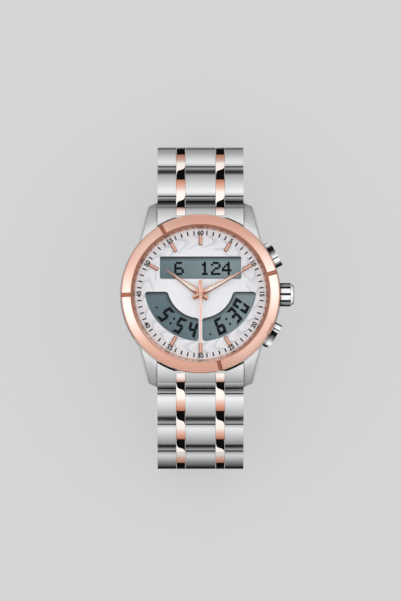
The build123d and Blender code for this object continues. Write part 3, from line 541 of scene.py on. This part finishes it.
class Pattern(Tree):
    """A Geometry Nodes tree with named inputs, run once to give a plain mesh."""

    def __init__(self, name, **inputs):
        self.tree = bpy.data.node_groups.new(name, "GeometryNodeTree")
        self.identifier = {}
        for label, kind in inputs.items():
            socket = self.tree.interface.new_socket(label, in_out="INPUT",
                                                    socket_type="NodeSocket" + kind)
            self.identifier[label] = socket.identifier
        self.tree.interface.new_socket("Geometry", in_out="OUTPUT",
                                       socket_type="NodeSocketGeometry")
        entry = self.tree.nodes.new("NodeGroupInput")
        self.given = {label: Shade(self, entry.outputs[label]) for label in inputs}

    def close(self, geometry, material):
        """Ends the tree: instances made real, and their material set."""
        real = self.node("GeometryNodeRealizeInstances", {}, [geometry])
        done = self.node("GeometryNodeSetMaterial", {}, {"Geometry": real, "Material": material})
        self.tree.links.new(done.socket, self.tree.nodes.new("NodeGroupOutput").inputs[0])

    def shape(self, **values):
        """Runs the tree and hands back its mesh as a shape in millimetres."""
        holder = bpy.data.objects.new("holder", bpy.data.meshes.new("holder"))
        bpy.context.scene.collection.objects.link(holder)
        modifier = holder.modifiers.new("pattern", "NODES")
        modifier.node_group = self.tree
        for label, value in values.items():
            modifier[self.identifier[label]] = value
        graph = bpy.context.evaluated_depsgraph_get()
        mesh = bpy.data.meshes.new_from_object(holder.evaluated_get(graph))
        holder.modifiers.remove(modifier)
        bpy.data.objects.remove(holder)
        shape = bmesh.new()
        shape.from_mesh(mesh)
        return shape


# ticks stand at the points of a circle, and each n-th point is left free for a figure
tick_ring = Pattern("tick_ring", Count="Int", Free="Int", Radius="Float", Long="Float",
                    Wide="Float", Thick="Float", Finish="Material")
given = tick_ring.given
circle = tick_ring.node("GeometryNodeMeshCircle", {}, {"Vertices": given["Count"],
                                                       "Radius": given["Radius"]})
index = tick_ring.node("GeometryNodeInputIndex")
tick = tick_ring.node("GeometryNodeMeshCube", {}, {"Size": tick_ring.node(
    "ShaderNodeCombineXYZ", {}, [given["Long"], given["Wide"], given["Thick"]])})
turn = tick_ring.node("ShaderNodeCombineXYZ", {}, [0.0, 0.0, index * (2 * pi) / given["Count"]])
ticks = tick_ring.node("GeometryNodeInstanceOnPoints", {}, {
    "Points": circle, "Instance": tick, "Rotation": turn,
    "Selection": index.math("MODULO", index, given["Free"]) > 0.5})
tick_ring.close(ticks, given["Finish"])

shape = tick_ring.shape(Count=60, Free=5, Radius=TRACK_RADIUS, Long=1.06, Wide=0.34,
                        Thick=2 * INK, Finish=print_black.material)
bmesh.ops.translate(shape, vec=(0, 0, DIAL_TOP + INK), verts=shape.verts)
piece(shape, "minute_ticks", "head", [print_black])


def lettering(text, high):
    """A printed figure as a shape, centred on its middle."""
    curve = bpy.data.curves.new("figure", "FONT")
    curve.body, curve.size, curve.extrude = text, high / 0.7, INK
    curve.resolution_u, curve.offset = 4, 0.065
    holder = bpy.data.objects.new("figure", curve)
    bpy.context.scene.collection.objects.link(holder)
    graph = bpy.context.evaluated_depsgraph_get()
    mesh = bpy.data.meshes.new_from_object(holder.evaluated_get(graph))
    bpy.data.objects.remove(holder)
    shape = bmesh.new()
    shape.from_mesh(mesh)
    middle = [(min(v.co[n] for v in shape.verts) + max(v.co[n] for v in shape.verts)) / 2
              for n in range(2)]
    bmesh.ops.translate(shape, vec=(-middle[0], -middle[1], 0), verts=shape.verts)
    return shape


def join(shape, part, place):
    """Adds a moved copy of one shape to another."""
    bmesh.ops.transform(part, matrix=place, verts=part.verts)
    mesh = bpy.data.meshes.new("join")
    part.to_mesh(mesh)
    shape.from_mesh(mesh)
    bpy.data.meshes.remove(mesh)
    part.free()


track = bmesh.new()
for minute in range(5, 65, 5):
    clock = radians(6 * minute)
    upside = 18 < minute < 42            # the lower figures stand with their tops inward
    join(track, lettering(str(minute), FIGURE_SIZE),
         Matrix.Translation((FIGURE_RADIUS * sin(clock), FIGURE_RADIUS * cos(clock),
                             DIAL_TOP + INK))
         @ Matrix.Rotation(-clock + (pi if upside else 0), 4, "Z"))
piece(track, "minute_figures", "head", [print_black])


# ==== Hour markers and hands ====
# Eight applied bars, and three dauphine hands stamped from thin sheet, all plated rose gold and
# polished.  The hour and minute hands carry a pale filling in their wide part.

ROSE, ROSE_DULL = paint(236, 188, 170), paint(214, 160, 140)
rose_gold = polished("polished_rose_gold", ROSE, ROSE_DULL, 0.09)
# rose gold in painted shade, for facets that face away from the light
rose_shade = polished("shaded_rose_gold", paint(168, 112, 90), paint(130, 80, 62), 0.12)
hand_fill = mottled("hand_filling", 8.0, paint(232, 226, 214), paint(248, 244, 236), Roughness=0.5)

# painted shade on the markers' facets that face down the dial and to the left
dress("hour_markers", "applied_markers", [rose_gold, rose_shade], 0.04,
      lambda normal, centre: 1 if normal.y < -0.1 or normal.x < -0.3 else 0)
TURN_STEPS, TAIL_HALF = 48, 0.52


def turned(shape, section):
    """Adds a turned solid from its section (radius, height), whose ends lie on the axis."""
    rings = []
    for radius, height in section:
        turns = [2 * pi * n / TURN_STEPS for n in range(TURN_STEPS if radius else 1)]
        rings.append([shape.verts.new((radius * cos(turn), radius * sin(turn), height))
                      for turn in turns])
    for low, high in zip(rings, rings[1:]):
        for n in range(TURN_STEPS):
            corners = [low[n % len(low)], low[(n + 1) % len(low)],
                       high[(n + 1) % len(high)], high[n % len(high)]]
            shape.faces.new(list(dict.fromkeys(corners)))


def make_hand(name, node, clock, long, tail, half, hub, shaft, fill_to):
    """A ridged kite blade with a sunk filling, its hub and the arbor below."""
    low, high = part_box(node)[0].z / MM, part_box(node)[1].z / MM
    under, edge, ridge, sunk = high - 0.22, high - 0.1, high, high - 0.04
    place = Matrix.Rotation(-radians(clock), 4, "Z")
    wide = 0.52 * half
    shape = bmesh.new()
    point = {key: shape.verts.new(place @ Vector(spot)) for key, spot in {
        "B": (0.07, long, edge), "C": (half, 1.6, edge), "D": (TAIL_HALF, -tail, edge),
        "b": (-0.07, long, edge), "c": (-half, 1.6, edge), "d": (-TAIL_HALF, -tail, edge),
        "P": (0, fill_to, ridge), "Q": (wide, 2.9, ridge), "R": (wide * 0.6, 1.6, ridge),
        "q": (-wide, 2.9, ridge), "r": (-wide * 0.6, 1.6, ridge), "S": (0, 1.1, ridge),
        "T": (0, -tail, ridge), "N": (0, long, ridge - 0.05)}.items()}
    floor = {key: shape.verts.new(point[key].co - Vector((0, 0, ridge - sunk)))
             for key in "PQRrq"}
    foot = {key: shape.verts.new(point[key].co - Vector((0, 0, edge - under)))
            for key in "BCDbcd"}
    for face in ("BCQP", "CSRQ", "CDTS", "bPqc", "cqrS", "cSTd", "BPN", "NPb", "RSr"):
        shape.faces.new([point[key] for key in face])
    for loop, lower in (("PQRrq", floor), ("BCDdcb", foot)):
        for first, second in zip(loop, loop[1:] + loop[0]):
            shape.faces.new((point[first], point[second], lower[second], lower[first]))
    shape.faces.new([point[key] for key in "DTd"])
    shape.faces.new([point[key] for key in "BNb"])
    filling = shape.faces.new([floor[key] for key in "PQRrq"])
    filling.material_index = 1
    shape.faces.new([foot[key] for key in "bcdDCB"])
    bmesh.ops.recalc_face_normals(shape, faces=shape.faces)
    for face in shape.faces:             # painted shade on the facets that face down the dial
        if face.normal.y < -0.08 and face is not filling:
            face.material_index = 2
    turned(shape, [(0, low), (shaft, low), (shaft, under), (hub, under), (hub, high - 0.07),
                   (hub - 0.09, high), (0, high)])
    piece(shape, name, BODY_OF[node], [rose_gold, hand_fill, rose_shade], [node])


make_hand("hour_hand_blade", "hour_hand", clock=305, long=10.8, tail=2.2, half=0.8, hub=0.9,
          shaft=0.75, fill_to=8.4)
make_hand("minute_hand_blade", "minute_hand", clock=61.6, long=15.1, tail=2.2, half=0.72, hub=0.7,
          shaft=0.48, fill_to=11.6)
make_hand("second_hand_blade", "second_hand", clock=180, long=14.5, tail=3.5, half=0.24, hub=0.6,
          shaft=0.22, fill_to=3.4)


# ==== Reflector ring, crystal and bezel ====
# The sloping ring round the dial is polished rose gold and mirrors the minute track, with pale
# and brown bands of reflection painted round it.  A flat mineral crystal sits in a nylon seal, and
# the bezel is pressed over it: its top is brushed in circles and crossed by four narrow polished
# flutes, painted brown as shade.

RING_IN = 16.5           # where the reflector ring meets the dial


def lower_left(finish, point):
    """Painted highlight: from 5 to 8 o'clock the rings round the crystal are painted as pale as
    the bezel.
    """
    x, y, z = finish.axes(point)
    facing = (x * -0.34 + y * -0.94) / (x * x + y * y).root()
    return facing.span(0.55, 0.85, 0.0, 1.0)


mirror_rose = Finish("reflector_rose_gold", Metallic=1.0)
point = mirror_rose.place()
x, y, z = mirror_rose.axes(point)
# painted reflection: pale and brown bands painted round the ring by radius
bands = ((x * x + y * y).root() - RING_IN).ramp(
    (0.0, paint(240, 216, 204)), (0.26, paint(236, 200, 184)), (0.34, paint(176, 118, 96)),
    (0.42, paint(200, 146, 124)), (1.0, paint(178, 120, 98)))
mirror_rose.set(Base_Color=mirror_rose.blend(lower_left(mirror_rose, point), bands,
                                             paint(240, 204, 188)),
                Roughness=0.3 + 0.1 * mirror_rose.noise(point, 0.6))
dress("rehaut_ring", "reflector_ring", [mirror_rose], 0)
clear_crystal = mottled("clear_crystal", 0.1, paint(60, 64, 68), paint(76, 80, 84),
                        Roughness=0.02, Alpha=0.04, Specular_IOR_Level=0.15)
dress("crystal", "watch_crystal", [clear_crystal], 0.05)
seal_nylon = Finish("seal_nylon", Roughness=0.5)
point = seal_nylon.place()
tone = seal_nylon.blend(seal_nylon.noise(point, 5.0), paint(150, 98, 76), paint(172, 116, 92))
# painted highlight on the seal from 5 to 8 o'clock
seal_nylon.set(Base_Color=seal_nylon.blend(lower_left(seal_nylon, point), tone,
                                           paint(214, 164, 144)))
coat(seal_nylon, "crystal_gasket")


def fans(finish, point):
    """Painted highlight: a bright fan painted to 3 and 9 o'clock and a faint one to 4:30 and 10:30,
    where the brushing would throw them.
    """
    x, y, z = finish.axes(point)
    squared = x * x + y * y
    across, slant = x * 0.985 + y * 0.17, x * 0.7 - y * 0.7
    return 0.85 * (across * across / squared) ** 5 + 0.3 * (slant * slant / squared) ** 7


BEZEL_FLUTES, FLUTE_HALF = (74, 165, 269, 329.5), 1.8     # clock angles


def bezel_faces(normal, centre):
    """The sloping top is brushed, its flutes painted brown as shade, its edges and flank polished."""
    clock = degrees(atan2(centre.x, centre.y)) % 360
    if normal.z > 0.5 and any(abs(clock - flute) < FLUTE_HALF for flute in BEZEL_FLUTES):
        return 2
    return 0 if normal.z > 0.86 else 1


brushed_rose = brushed("brushed_rose_gold", paint(226, 176, 157), paint(206, 154, 134),
                       concentric, 0.3, GRAIN, fans, paint(255, 238, 230), Anisotropic=0.75)
# painted shade for the flutes
flute_brown = polished("flute_shade_rose_gold", paint(160, 104, 84), paint(128, 80, 62), 0.2)
dress("bezel", "bezel_ring", [brushed_rose, rose_gold, flute_brown], 0.05,
      bezel_faces)


# ==== Crown and pushers ====
# The crown is turned from steel with ten broad rounded ribs for the fingers.  The two oblong
# pushers beside it are polished and slide in their tubes.

CROWN_RIBS, CROWN_STEPS, CROWN_RADIUS = 10, 16, 3.0
# the crown's section: place along its axis, radius, depth of the grooves between its ribs
CROWN_SECTION = ((0, 0.0, 0), (0, 2.8, 0.1), (0.1, 2.96, 0.25), (0.2, 3.0, 0.3), (2.5, 3.0, 0.3),
                 (2.68, 2.92, 0.22), (2.8, 2.74, 0.06), (2.84, 2.64, 0), (3.1, 2.62, 0),
                 (3.35, 2.52, 0), (3.52, 2.32, 0), (3.6, 1.95, 0), (3.6, 0.0, 0))
crown_shape = bmesh.new()
crown_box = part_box("crown")
crown_in, crown_out = crown_box[0].x / MM, crown_box[1].x / MM
crown_z = (crown_box[0].z + crown_box[1].z) / 2 / MM
rings = []
for along, reach, groove in CROWN_SECTION:
    rings.append([])
    for n in range(CROWN_RIBS * CROWN_STEPS):
        angle = 2 * pi * n / (CROWN_RIBS * CROWN_STEPS)
        cut = groove * (1 - abs(cos(CROWN_RIBS * angle / 2))) ** 2
        rings[-1].append(crown_shape.verts.new((crown_in + along, (reach - cut) * cos(angle),
                                                crown_z + (reach - cut) * sin(angle))))
for low, high in zip(rings, rings[1:]):
    for n in range(len(low)):
        m = (n + 1) % len(low)
        crown_shape.faces.new((low[n], low[m], high[m], high[n]))
bmesh.ops.remove_doubles(crown_shape, verts=crown_shape.verts, dist=0.0005)
crown_steel = Finish("crown_steel", Metallic=1.0)
point = crown_steel.place()
x, y, z = crown_steel.axes(point)
up = z - crown_z
# Painted light: the grooves between the ribs are painted black as shade, the rib tops bright as highlight.
rib = (up.angle(y) * (CROWN_RIBS / 2)).cosine().size()
rib = rib.most((x > crown_in + 2.75) * 1.0)
side = (y / CROWN_RADIUS).size()           # painted reflection: the outermost ribs painted darker, as if mirroring the dark at the sides
rib = rib * side.span(0.5, 0.8, 1.0, 0.45) * side.span(0.88, 0.97, 1.0, 0.4)
# painted shade round the rim of the crown's end
rim = x.span(crown_out - 0.5, crown_out, 0.0, 0.7)
rim = rim * (y * y + up * up).root().span(1.7, 2.2, 0.0, 1.0)
crown_steel.set(Base_Color=(rib * (1 - rim)).ramp(
    (0.0, paint(10, 10, 12)), (0.28, paint(20, 20, 22)), (0.45, paint(140, 141, 143)),
    (0.62, paint(238, 239, 241)), (1.0, paint(244, 245, 247))),
    Roughness=0.08 + 0.08 * crown_steel.noise(point, 0.8))
piece(crown_shape, "ribbed_crown", "crown", [crown_steel], ["crown"])

PUSHER_LONG = 6.8
# painted reflection: dark and bright bands painted across each pusher, as its polish would
# mirror them: place from its crown end, level
BANDS = {"upper": ((0.0, 16), (0.09, 24), (0.15, 150), (0.22, 246), (0.32, 236), (0.335, 12),
                   (0.365, 12), (0.38, 250), (0.46, 214), (0.56, 130), (0.66, 22), (0.8, 20),
                   (0.87, 190), (0.94, 232), (1.0, 60)),
         "lower": ((0.0, 20), (0.05, 60), (0.08, 240), (0.2, 250), (0.215, 12), (0.245, 12),
                   (0.26, 236), (0.31, 220), (0.34, 14), (0.46, 18), (0.62, 130), (0.82, 246),
                   (0.9, 200), (0.94, 30), (1.0, 16))}
for name, clock, to_crown in (("upper", radians(61.2), 1), ("lower", radians(119.7), -1)):
    pusher_steel = Finish(name + "_pusher_steel", Metallic=1.0)
    point = pusher_steel.place()
    x, y, z = pusher_steel.axes(point)
    along = 0.5 - (x * cos(clock) - y * sin(clock)) * (to_crown / PUSHER_LONG)
    pusher_steel.set(Base_Color=along.ramp(*[
        (spot, paint(level, level + 1, level + 2)) for spot, level in BANDS[name]]),
        Roughness=0.1 + 0.08 * pusher_steel.noise(point, 0.8))
    dress("pusher_" + name, name + "_push_button", [pusher_steel], 0.1)


# ==== End links ====
# Solid steel links fill the gap between the lugs and carry the strap's first hinge.  Sprung
# bars hold them to the lugs, and a short gold bar is let into each side.

dress("spring_bars", "sprung_bars", [small_steel], 0.05)


def toward_row(finish, point):
    """Painted shade deepens the end links as they drop to the strap, the upper one the more."""
    y = finish.axes(point)[1]
    return (y.span(18.5, 21.6, 0.0, 0.3) + y.span(21.6, 23.2, 0.0, 0.7)
            + y.span(-18.5, -21.5, 0.0, 0.35) + y.span(-22.4, -23.6, 0.0, 0.6))


def link_faces(normal, centre):
    """The tops are brushed, the sides painted black as shade in their gaps, and the rest is polished."""
    if abs(normal.x) > 0.7:
        return 2
    return 0 if normal.z > 0.25 else 1


link_steel = brushed("link_steel", STEEL, STEEL_DULL, lengthwise, 0.3, GRAIN, toward_row,
                     paint(46, 46, 48))
dress("end_links", "case_end_links", [link_steel, polished_steel, shade_and_reflection_black], 0.03,
      link_faces, crease=12)
link_rose = Finish("polished_link_rose", Metallic=1.0)
point = link_rose.place()
# painted highlight: the bars are painted near white towards the case
reach = link_rose.axes(point)[1].size().span(20.9, 22.3, 0.0, 1.0)
link_rose.set(Base_Color=link_rose.blend(reach, paint(255, 244, 236), ROSE_DULL),
              Roughness=0.08 + 0.06 * link_rose.noise(point, 0.6))
dress("end_link_accents", "end_link_gold_bars", [link_rose], 0.1)


# ==== Strap ====
# Each row has three steel blocks tied by two cross pins, with a polished gold bar in each gap.
# A block has a low step at its near end with a line of painted shade on each side, a brushed
# domed top, and its knuckle at the far end.  A bar has its knuckle at the near end, so that the
# rows interlock.

PITCH, KNUCKLE, SOCKET, BAR_SOCKET = 8.0, 1.35, 1.55, 1.5
BAND, OUTER_IN, BAR_OUT, BAR_IN, CENTRE_HALF = 21.9, 6.21, 6.16, 3.87, 3.82
ROWS = 6                 # on each side of the head
STEP_START, STEP_LONG = 1.22, 1.3          # the step's place from the hinge
BAR_TIP, BAR_CREST, BAR_RISE = -1.2, 1.8, 0.31            # a bar's near tip and highest point
BAR_END = 1.0            # half the height of its far end
BAR_STRIPS, BLACK_SPOTS, TOP_SPOTS, BLACK_UNDER = 16, 6, 14, 6


def arc(start, through, end, steps):
    """Points on the arc through three points, without its first."""
    (ax, ay), (bx, by), (cx, cy) = start, through, end
    d = 2 * (ax * (by - cy) + bx * (cy - ay) + cx * (ay - by))
    ux = ((ax**2 + ay**2) * (by - cy) + (bx**2 + by**2) * (cy - ay)
          + (cx**2 + cy**2) * (ay - by)) / d
    uy = ((ax**2 + ay**2) * (cx - bx) + (bx**2 + by**2) * (ax - cx)
          + (cx**2 + cy**2) * (bx - ax)) / d
    first, middle, last = (atan2(y - uy, x - ux) for x, y in (start, through, end))
    sweep = (last - first) % (2 * pi)
    if (middle - first) % (2 * pi) > sweep:
        sweep -= 2 * pi
    reach = hypot(ax - ux, ay - uy)
    turns = [first + sweep * n / steps for n in range(1, steps + 1)]
    return [(ux + reach * cos(turn), uy + reach * sin(turn)) for turn in turns]


def slab(shape, outline, low, high):
    """A plate cut to an outline (along, out) and reaching across from low to high."""
    rings = [[shape.verts.new((across, along, out)) for along, out in outline]
             for across in (low, high)]
    shape.faces.new(rings[0])
    shape.faces.new(list(reversed(rings[1])))
    for n in range(len(outline)):
        m = (n + 1) % len(outline)
        shape.faces.new((rings[0][n], rings[0][m], rings[1][m], rings[1][n]))


def chart(shape):
    """Keeps each point's place on its own block or bar, in millimetres, as a UV map."""
    layer = shape.loops.layers.uv.new("chart")
    for face in shape.faces:
        for loop in face.loops:
            loop[layer].uv = loop.vert.co.xy
    return shape


def lengthways(finish):
    """The place along a block or bar from its hinge, in millimetres."""
    return finish.axes(finish.node("ShaderNodeUVMap", {"uv_map": "chart"}))[1]


def block_tone(finish, point):
    """Painted shade: a block's top is painted deeper towards its far end and in a line at its near
    edge, and the rows that turn down below 6 o'clock are painted deeper still."""
    along, y = lengthways(finish), finish.axes(point)[1]
    ends = (along.span(3.6, PITCH, 0.0, 0.52) + along.span(2.4, 3.2, 0.45, 0.0)
            + along.span(PITCH - 0.2, PITCH + 0.5, 0.0, 0.42))
    return (ends + y.span(-32.0, -38.5, 0.0, 0.1) + y.span(-38.5, -41.0, 0.0, 0.1)
            + y.span(-41.0, -44.0, 0.0, 0.35))


# painted shade: black and grey bands painted across the low step of each block
step_steel = Finish("step_steel", Metallic=0.3)
point = step_steel.place()
step_steel.set(Base_Color=((lengthways(step_steel) - STEP_START) / STEP_LONG).ramp(
    (0.0, paint(10, 10, 12)), (0.1, paint(14, 14, 16)), (0.2, paint(110, 111, 113)),
    (0.62, paint(168, 169, 171)), (0.67, paint(12, 12, 14)), (0.94, paint(12, 12, 14)),
    (1.0, paint(70, 70, 72))), Roughness=0.4 + 0.1 * step_steel.noise(point, 0.8))
block_steel = brushed("block_steel", paint(242, 243, 244), paint(222, 223, 224), lengthwise, 0.3,
                      GRAIN, block_tone, paint(24, 24, 24))

lip_out = 0.95                             # the socket's two lips, above and below the hinge line
lip = sqrt(SOCKET**2 - lip_out**2)
block = [(lip, lip_out), (lip + 0.45, 0.98), (lip + 0.86, 1.06), (lip + 1.16, 1.44)]
block += arc(block[-1], (5.1, 1.75), (PITCH - 0.2, 1.335), 12)
block += arc(block[-1], (PITCH + KNUCKLE, 0), (PITCH, -KNUCKLE), 16)
block += [(lip + 0.45, -KNUCKLE), (lip, -lip_out)]
block += arc(block[-1], (SOCKET, 0), (lip, lip_out), 8)[:-1]

row_shape = bmesh.new()
slab(row_shape, block, -CENTRE_HALF, CENTRE_HALF)
slab(row_shape, block, OUTER_IN, BAND / 2)
slab(row_shape, block, -BAND / 2, -OUTER_IN)
bmesh.ops.recalc_face_normals(row_shape, faces=row_shape.faces)
for face in row_shape.faces:             # brushed top, step at the near end, the rest polished
    middle = face.calc_center_median()
    on_step = middle.z > -0.3 and middle.y < lip + 1.3
    face.material_index = 2 if on_step else 1
    if face.normal.z > 0.55 and middle.y > lip + 1.2:
        face.material_index = 0
soften(row_shape, 0.05)
chart(row_shape)

FAR = PITCH - sqrt(BAR_SOCKET**2 - BAR_END**2)            # where a bar's top meets the next bar
bar_rose = Finish("polished_rose_bar", Metallic=1.0)
# painted highlight near white at a bar's near end, painted shade brown towards its far end
bar_rose.set(Base_Color=(lengthways(bar_rose) / FAR).ramp(
    (0.0, paint(255, 246, 240)), (0.48, paint(255, 244, 236)), (0.64, paint(238, 198, 180)),
    (0.82, paint(220, 160, 136)), (1.0, paint(186, 122, 98))),
    Roughness=0.08 + 0.06 * bar_rose.noise(bar_rose.place(), 0.6))


def bar_top(along):
    """Height of a bar's top: round at its knuckle, then rising, then falling to its far end."""
    if along < 0:
        return sqrt(KNUCKLE**2 - along**2)
    if along < BAR_CREST:
        return KNUCKLE + BAR_RISE * along / BAR_CREST
    fall = KNUCKLE + BAR_RISE - BAR_END
    return BAR_END + fall - fall * ((along - BAR_CREST) / (FAR - BAR_CREST)) ** 2


def bar_solid(side):
    """The two bars of a row.  Each one's near end is painted black as a dark reflection, up to a
    line that runs in an S.
    """
    shape = bmesh.new()
    under = arc((FAR, BAR_END), (PITCH - BAR_SOCKET, 0), (FAR, -BAR_END), 8) + [(0, -KNUCKLE)]
    under += arc((0, -KNUCKLE), (-KNUCKLE, 0), (BAR_TIP, bar_top(BAR_TIP)), 10)[:-1]
    for low in (BAR_IN, -BAR_OUT):
        ribs = []
        for n in range(BAR_STRIPS + 1):
            share = (2 * n / BAR_STRIPS - 1) * side
            edge = 1.0 + 0.45 * share + 1.2 * share**7
            spots = [BAR_TIP + (edge - BAR_TIP) * m / BLACK_SPOTS for m in range(BLACK_SPOTS)]
            spots += [edge + (FAR - edge) * m / TOP_SPOTS for m in range(TOP_SPOTS + 1)]
            across = low + (BAR_OUT - BAR_IN) * n / BAR_STRIPS
            ribs.append([shape.verts.new((across, along, out))
                         for along, out in [(spot, bar_top(spot)) for spot in spots] + under])
        for first, second in zip(ribs, ribs[1:]):
            for n in range(len(first)):
                m = (n + 1) % len(first)
                face = shape.faces.new((first[n], first[m], second[m], second[n]))
                # the near end and its underside take the painted black reflection
                near = n < BLACK_SPOTS or n >= len(first) - BLACK_UNDER
                face.material_index = 1 if near else 0
        shape.faces.new(ribs[0])
        shape.faces.new(list(reversed(ribs[-1])))
    bmesh.ops.recalc_face_normals(shape, faces=shape.faces)
    soften(shape, 0.06, 40)
    return chart(shape)


hinge = {joint["name"]: Vector(joint["pos_m"]) / MM for joint in frame["joints"]
         if joint["name"].startswith("row_")}
for side, sign in (("12", 1), ("6", -1)):
    points = [hinge[f"row_{side}_{n}_hinge"] for n in range(1, ROWS + 1)]
    points.append(points[-1] - Vector((0, sign * PITCH, 0)))      # the last row lies flat
    for n in range(1, ROWS + 1):
        along = (points[n] - points[n - 1]).normalized()
        across = Vector((sign, 0, 0))
        place = Matrix((across, along, across.cross(along))).transposed().to_4x4()
        place.translation = points[n - 1]
        for shape, name, finishes, slot, node in (
                (row_shape, "steel_blocks", [block_steel, polished_steel, step_steel],
                 "steel", "row"),
                (bar_solid(sign), "gold_bars", [bar_rose, shade_and_reflection_black], "rose_gold", "accent")):
            copy = shape.copy()
            bmesh.ops.transform(copy, matrix=place, verts=copy.verts)
            piece(copy, f"{name}_{side}_{n}", f"row_{side}_{n}", finishes,
                  [f"{node}_{side}_{n}"])


# ==== Clasp ====
# Two stamped steel leaves and an outer cover fold up on pins.  The cover is brushed with
# polished rims, and a sprung button in each side wall lets it open.

for node, name, width in (("clasp_cover", "clasp_cover_shell", 0.1),
                          ("clasp_middle_blade", "clasp_middle_leaf", 0.08),
                          ("clasp_inner_blade", "clasp_inner_leaf", 0.08)):
    dress(node, name, [brushed_steel, polished_steel], width,
          lambda normal, centre: 0 if abs(normal.z) > 0.9 else 1)
dress("clasp_pins", "clasp_hinge_pins", [small_steel], 0.05)
for side in ("right", "left"):
    dress("clasp_button_" + side, side + "_release_button", [polished_steel], 0.1)


# ==== Floor, light and camera ====
# The watch lies dial up on a plain pale table under a soft tent with a lamp at each side.

TABLE, PLAIN_SHARE = paint(212, 212, 212), 0.7            # the share that takes no shade
FLOOR_HALF = 2000
floor_shape = bmesh.new()
bmesh.ops.create_grid(floor_shape, x_segments=1, y_segments=1, size=FLOOR_HALF)
floor_mesh = bpy.data.meshes.new("floor")
bmesh.ops.scale(floor_shape, vec=(MM, MM, MM), verts=floor_shape.verts)
floor_shape.to_mesh(floor_mesh)
floor = bpy.data.objects.new("floor", floor_mesh)
bpy.context.scene.collection.objects.link(floor)
table_grey = Finish("table_grey", Roughness=0.9, Base_Color=TABLE)
# straight rays, rays off metal and rays through glass see the floor's own grey
straight, glossy, through = [table_grey.node("ShaderNodeLightPath", output=n) for n in (0, 3, 6)]
plain = table_grey.node("ShaderNodeEmission", {}, {"Color": TABLE})
shared = table_grey.node("ShaderNodeMixShader", {}, [
    straight.most(glossy).most(through) * PLAIN_SHARE,
    Shade(table_grey, table_grey.surface.outputs[0]), plain])
table_grey.feed(table_grey.tree.nodes["Material Output"].inputs["Surface"], shared)
floor_mesh.materials.append(table_grey.material)

world = bpy.data.worlds.new("tent")
bpy.context.scene.world = world
world.use_nodes = True


class Tent(Tree):
    """The world's light."""

    def __init__(self, world):
        self.tree = world.node_tree
        self.surface = self.tree.nodes["Background"]


tent = Tent(world)
way = tent.node("ShaderNodeTexCoord", output=0)
x, y, z = [tent.node("ShaderNodeSeparateXYZ", {}, [way], n) for n in range(3)]
# bright overhead and along the strap, darker out to its sides
barrel = (z * z + y * y * 0.6 + x * x * 0.1).root()
tent.feed(tent.surface.inputs["Color"], barrel.ramp(*[
    (place, (level, level, level, 1)) for place, level in (
        (0.0, 0.08), (0.2, 0.14), (0.36, 0.4), (0.55, 0.64), (0.75, 0.85), (0.92, 1.0))]))
tent.feed(tent.surface.inputs["Strength"], 1.06)

LAMP_SIDE, LAMP_POWER, WATCH = 0.8, 1.4, Vector((0, 0, 0.03))
for name, spot in (("lamp_right", (0.8, 0.1, 0.7)), ("lamp_left", (-0.8, -0.05, 0.7))):
    light = bpy.data.lights.new(name, "AREA")
    light.shape, light.size, light.energy = "SQUARE", LAMP_SIDE, LAMP_POWER
    lamp = bpy.data.objects.new(name, light)
    lamp.location = spot
    lamp.rotation_euler = (WATCH - Vector(spot)).to_track_quat("-Z", "Y").to_euler()
    bpy.context.scene.collection.objects.link(lamp)

TILT, AWAY, VIEW_HIGH, PICTURE_HIGH = radians(87), 1.5, 0.152, 601
LOWER_BY, DIAL_HEIGHT = 7, 11              # picture rows, and millimetres above the case back
aim = Vector((0, -LOWER_BY * VIEW_HIGH / PICTURE_HIGH, (BACK + DIAL_HEIGHT) * MM))
camera = bpy.data.objects.new("camera", bpy.data.cameras.new("camera"))
camera.data.sensor_width = 36
camera.data.lens = 36 * AWAY / VIEW_HIGH
camera.data.clip_end = 10
camera.location = aim + AWAY * Vector((0, -cos(TILT), sin(TILT)))
camera.rotation_euler = (pi / 2 - TILT, 0, 0)
bpy.context.scene.collection.objects.link(camera)
bpy.context.scene.camera = camera
bpy.context.scene.view_settings.view_transform = "Standard"
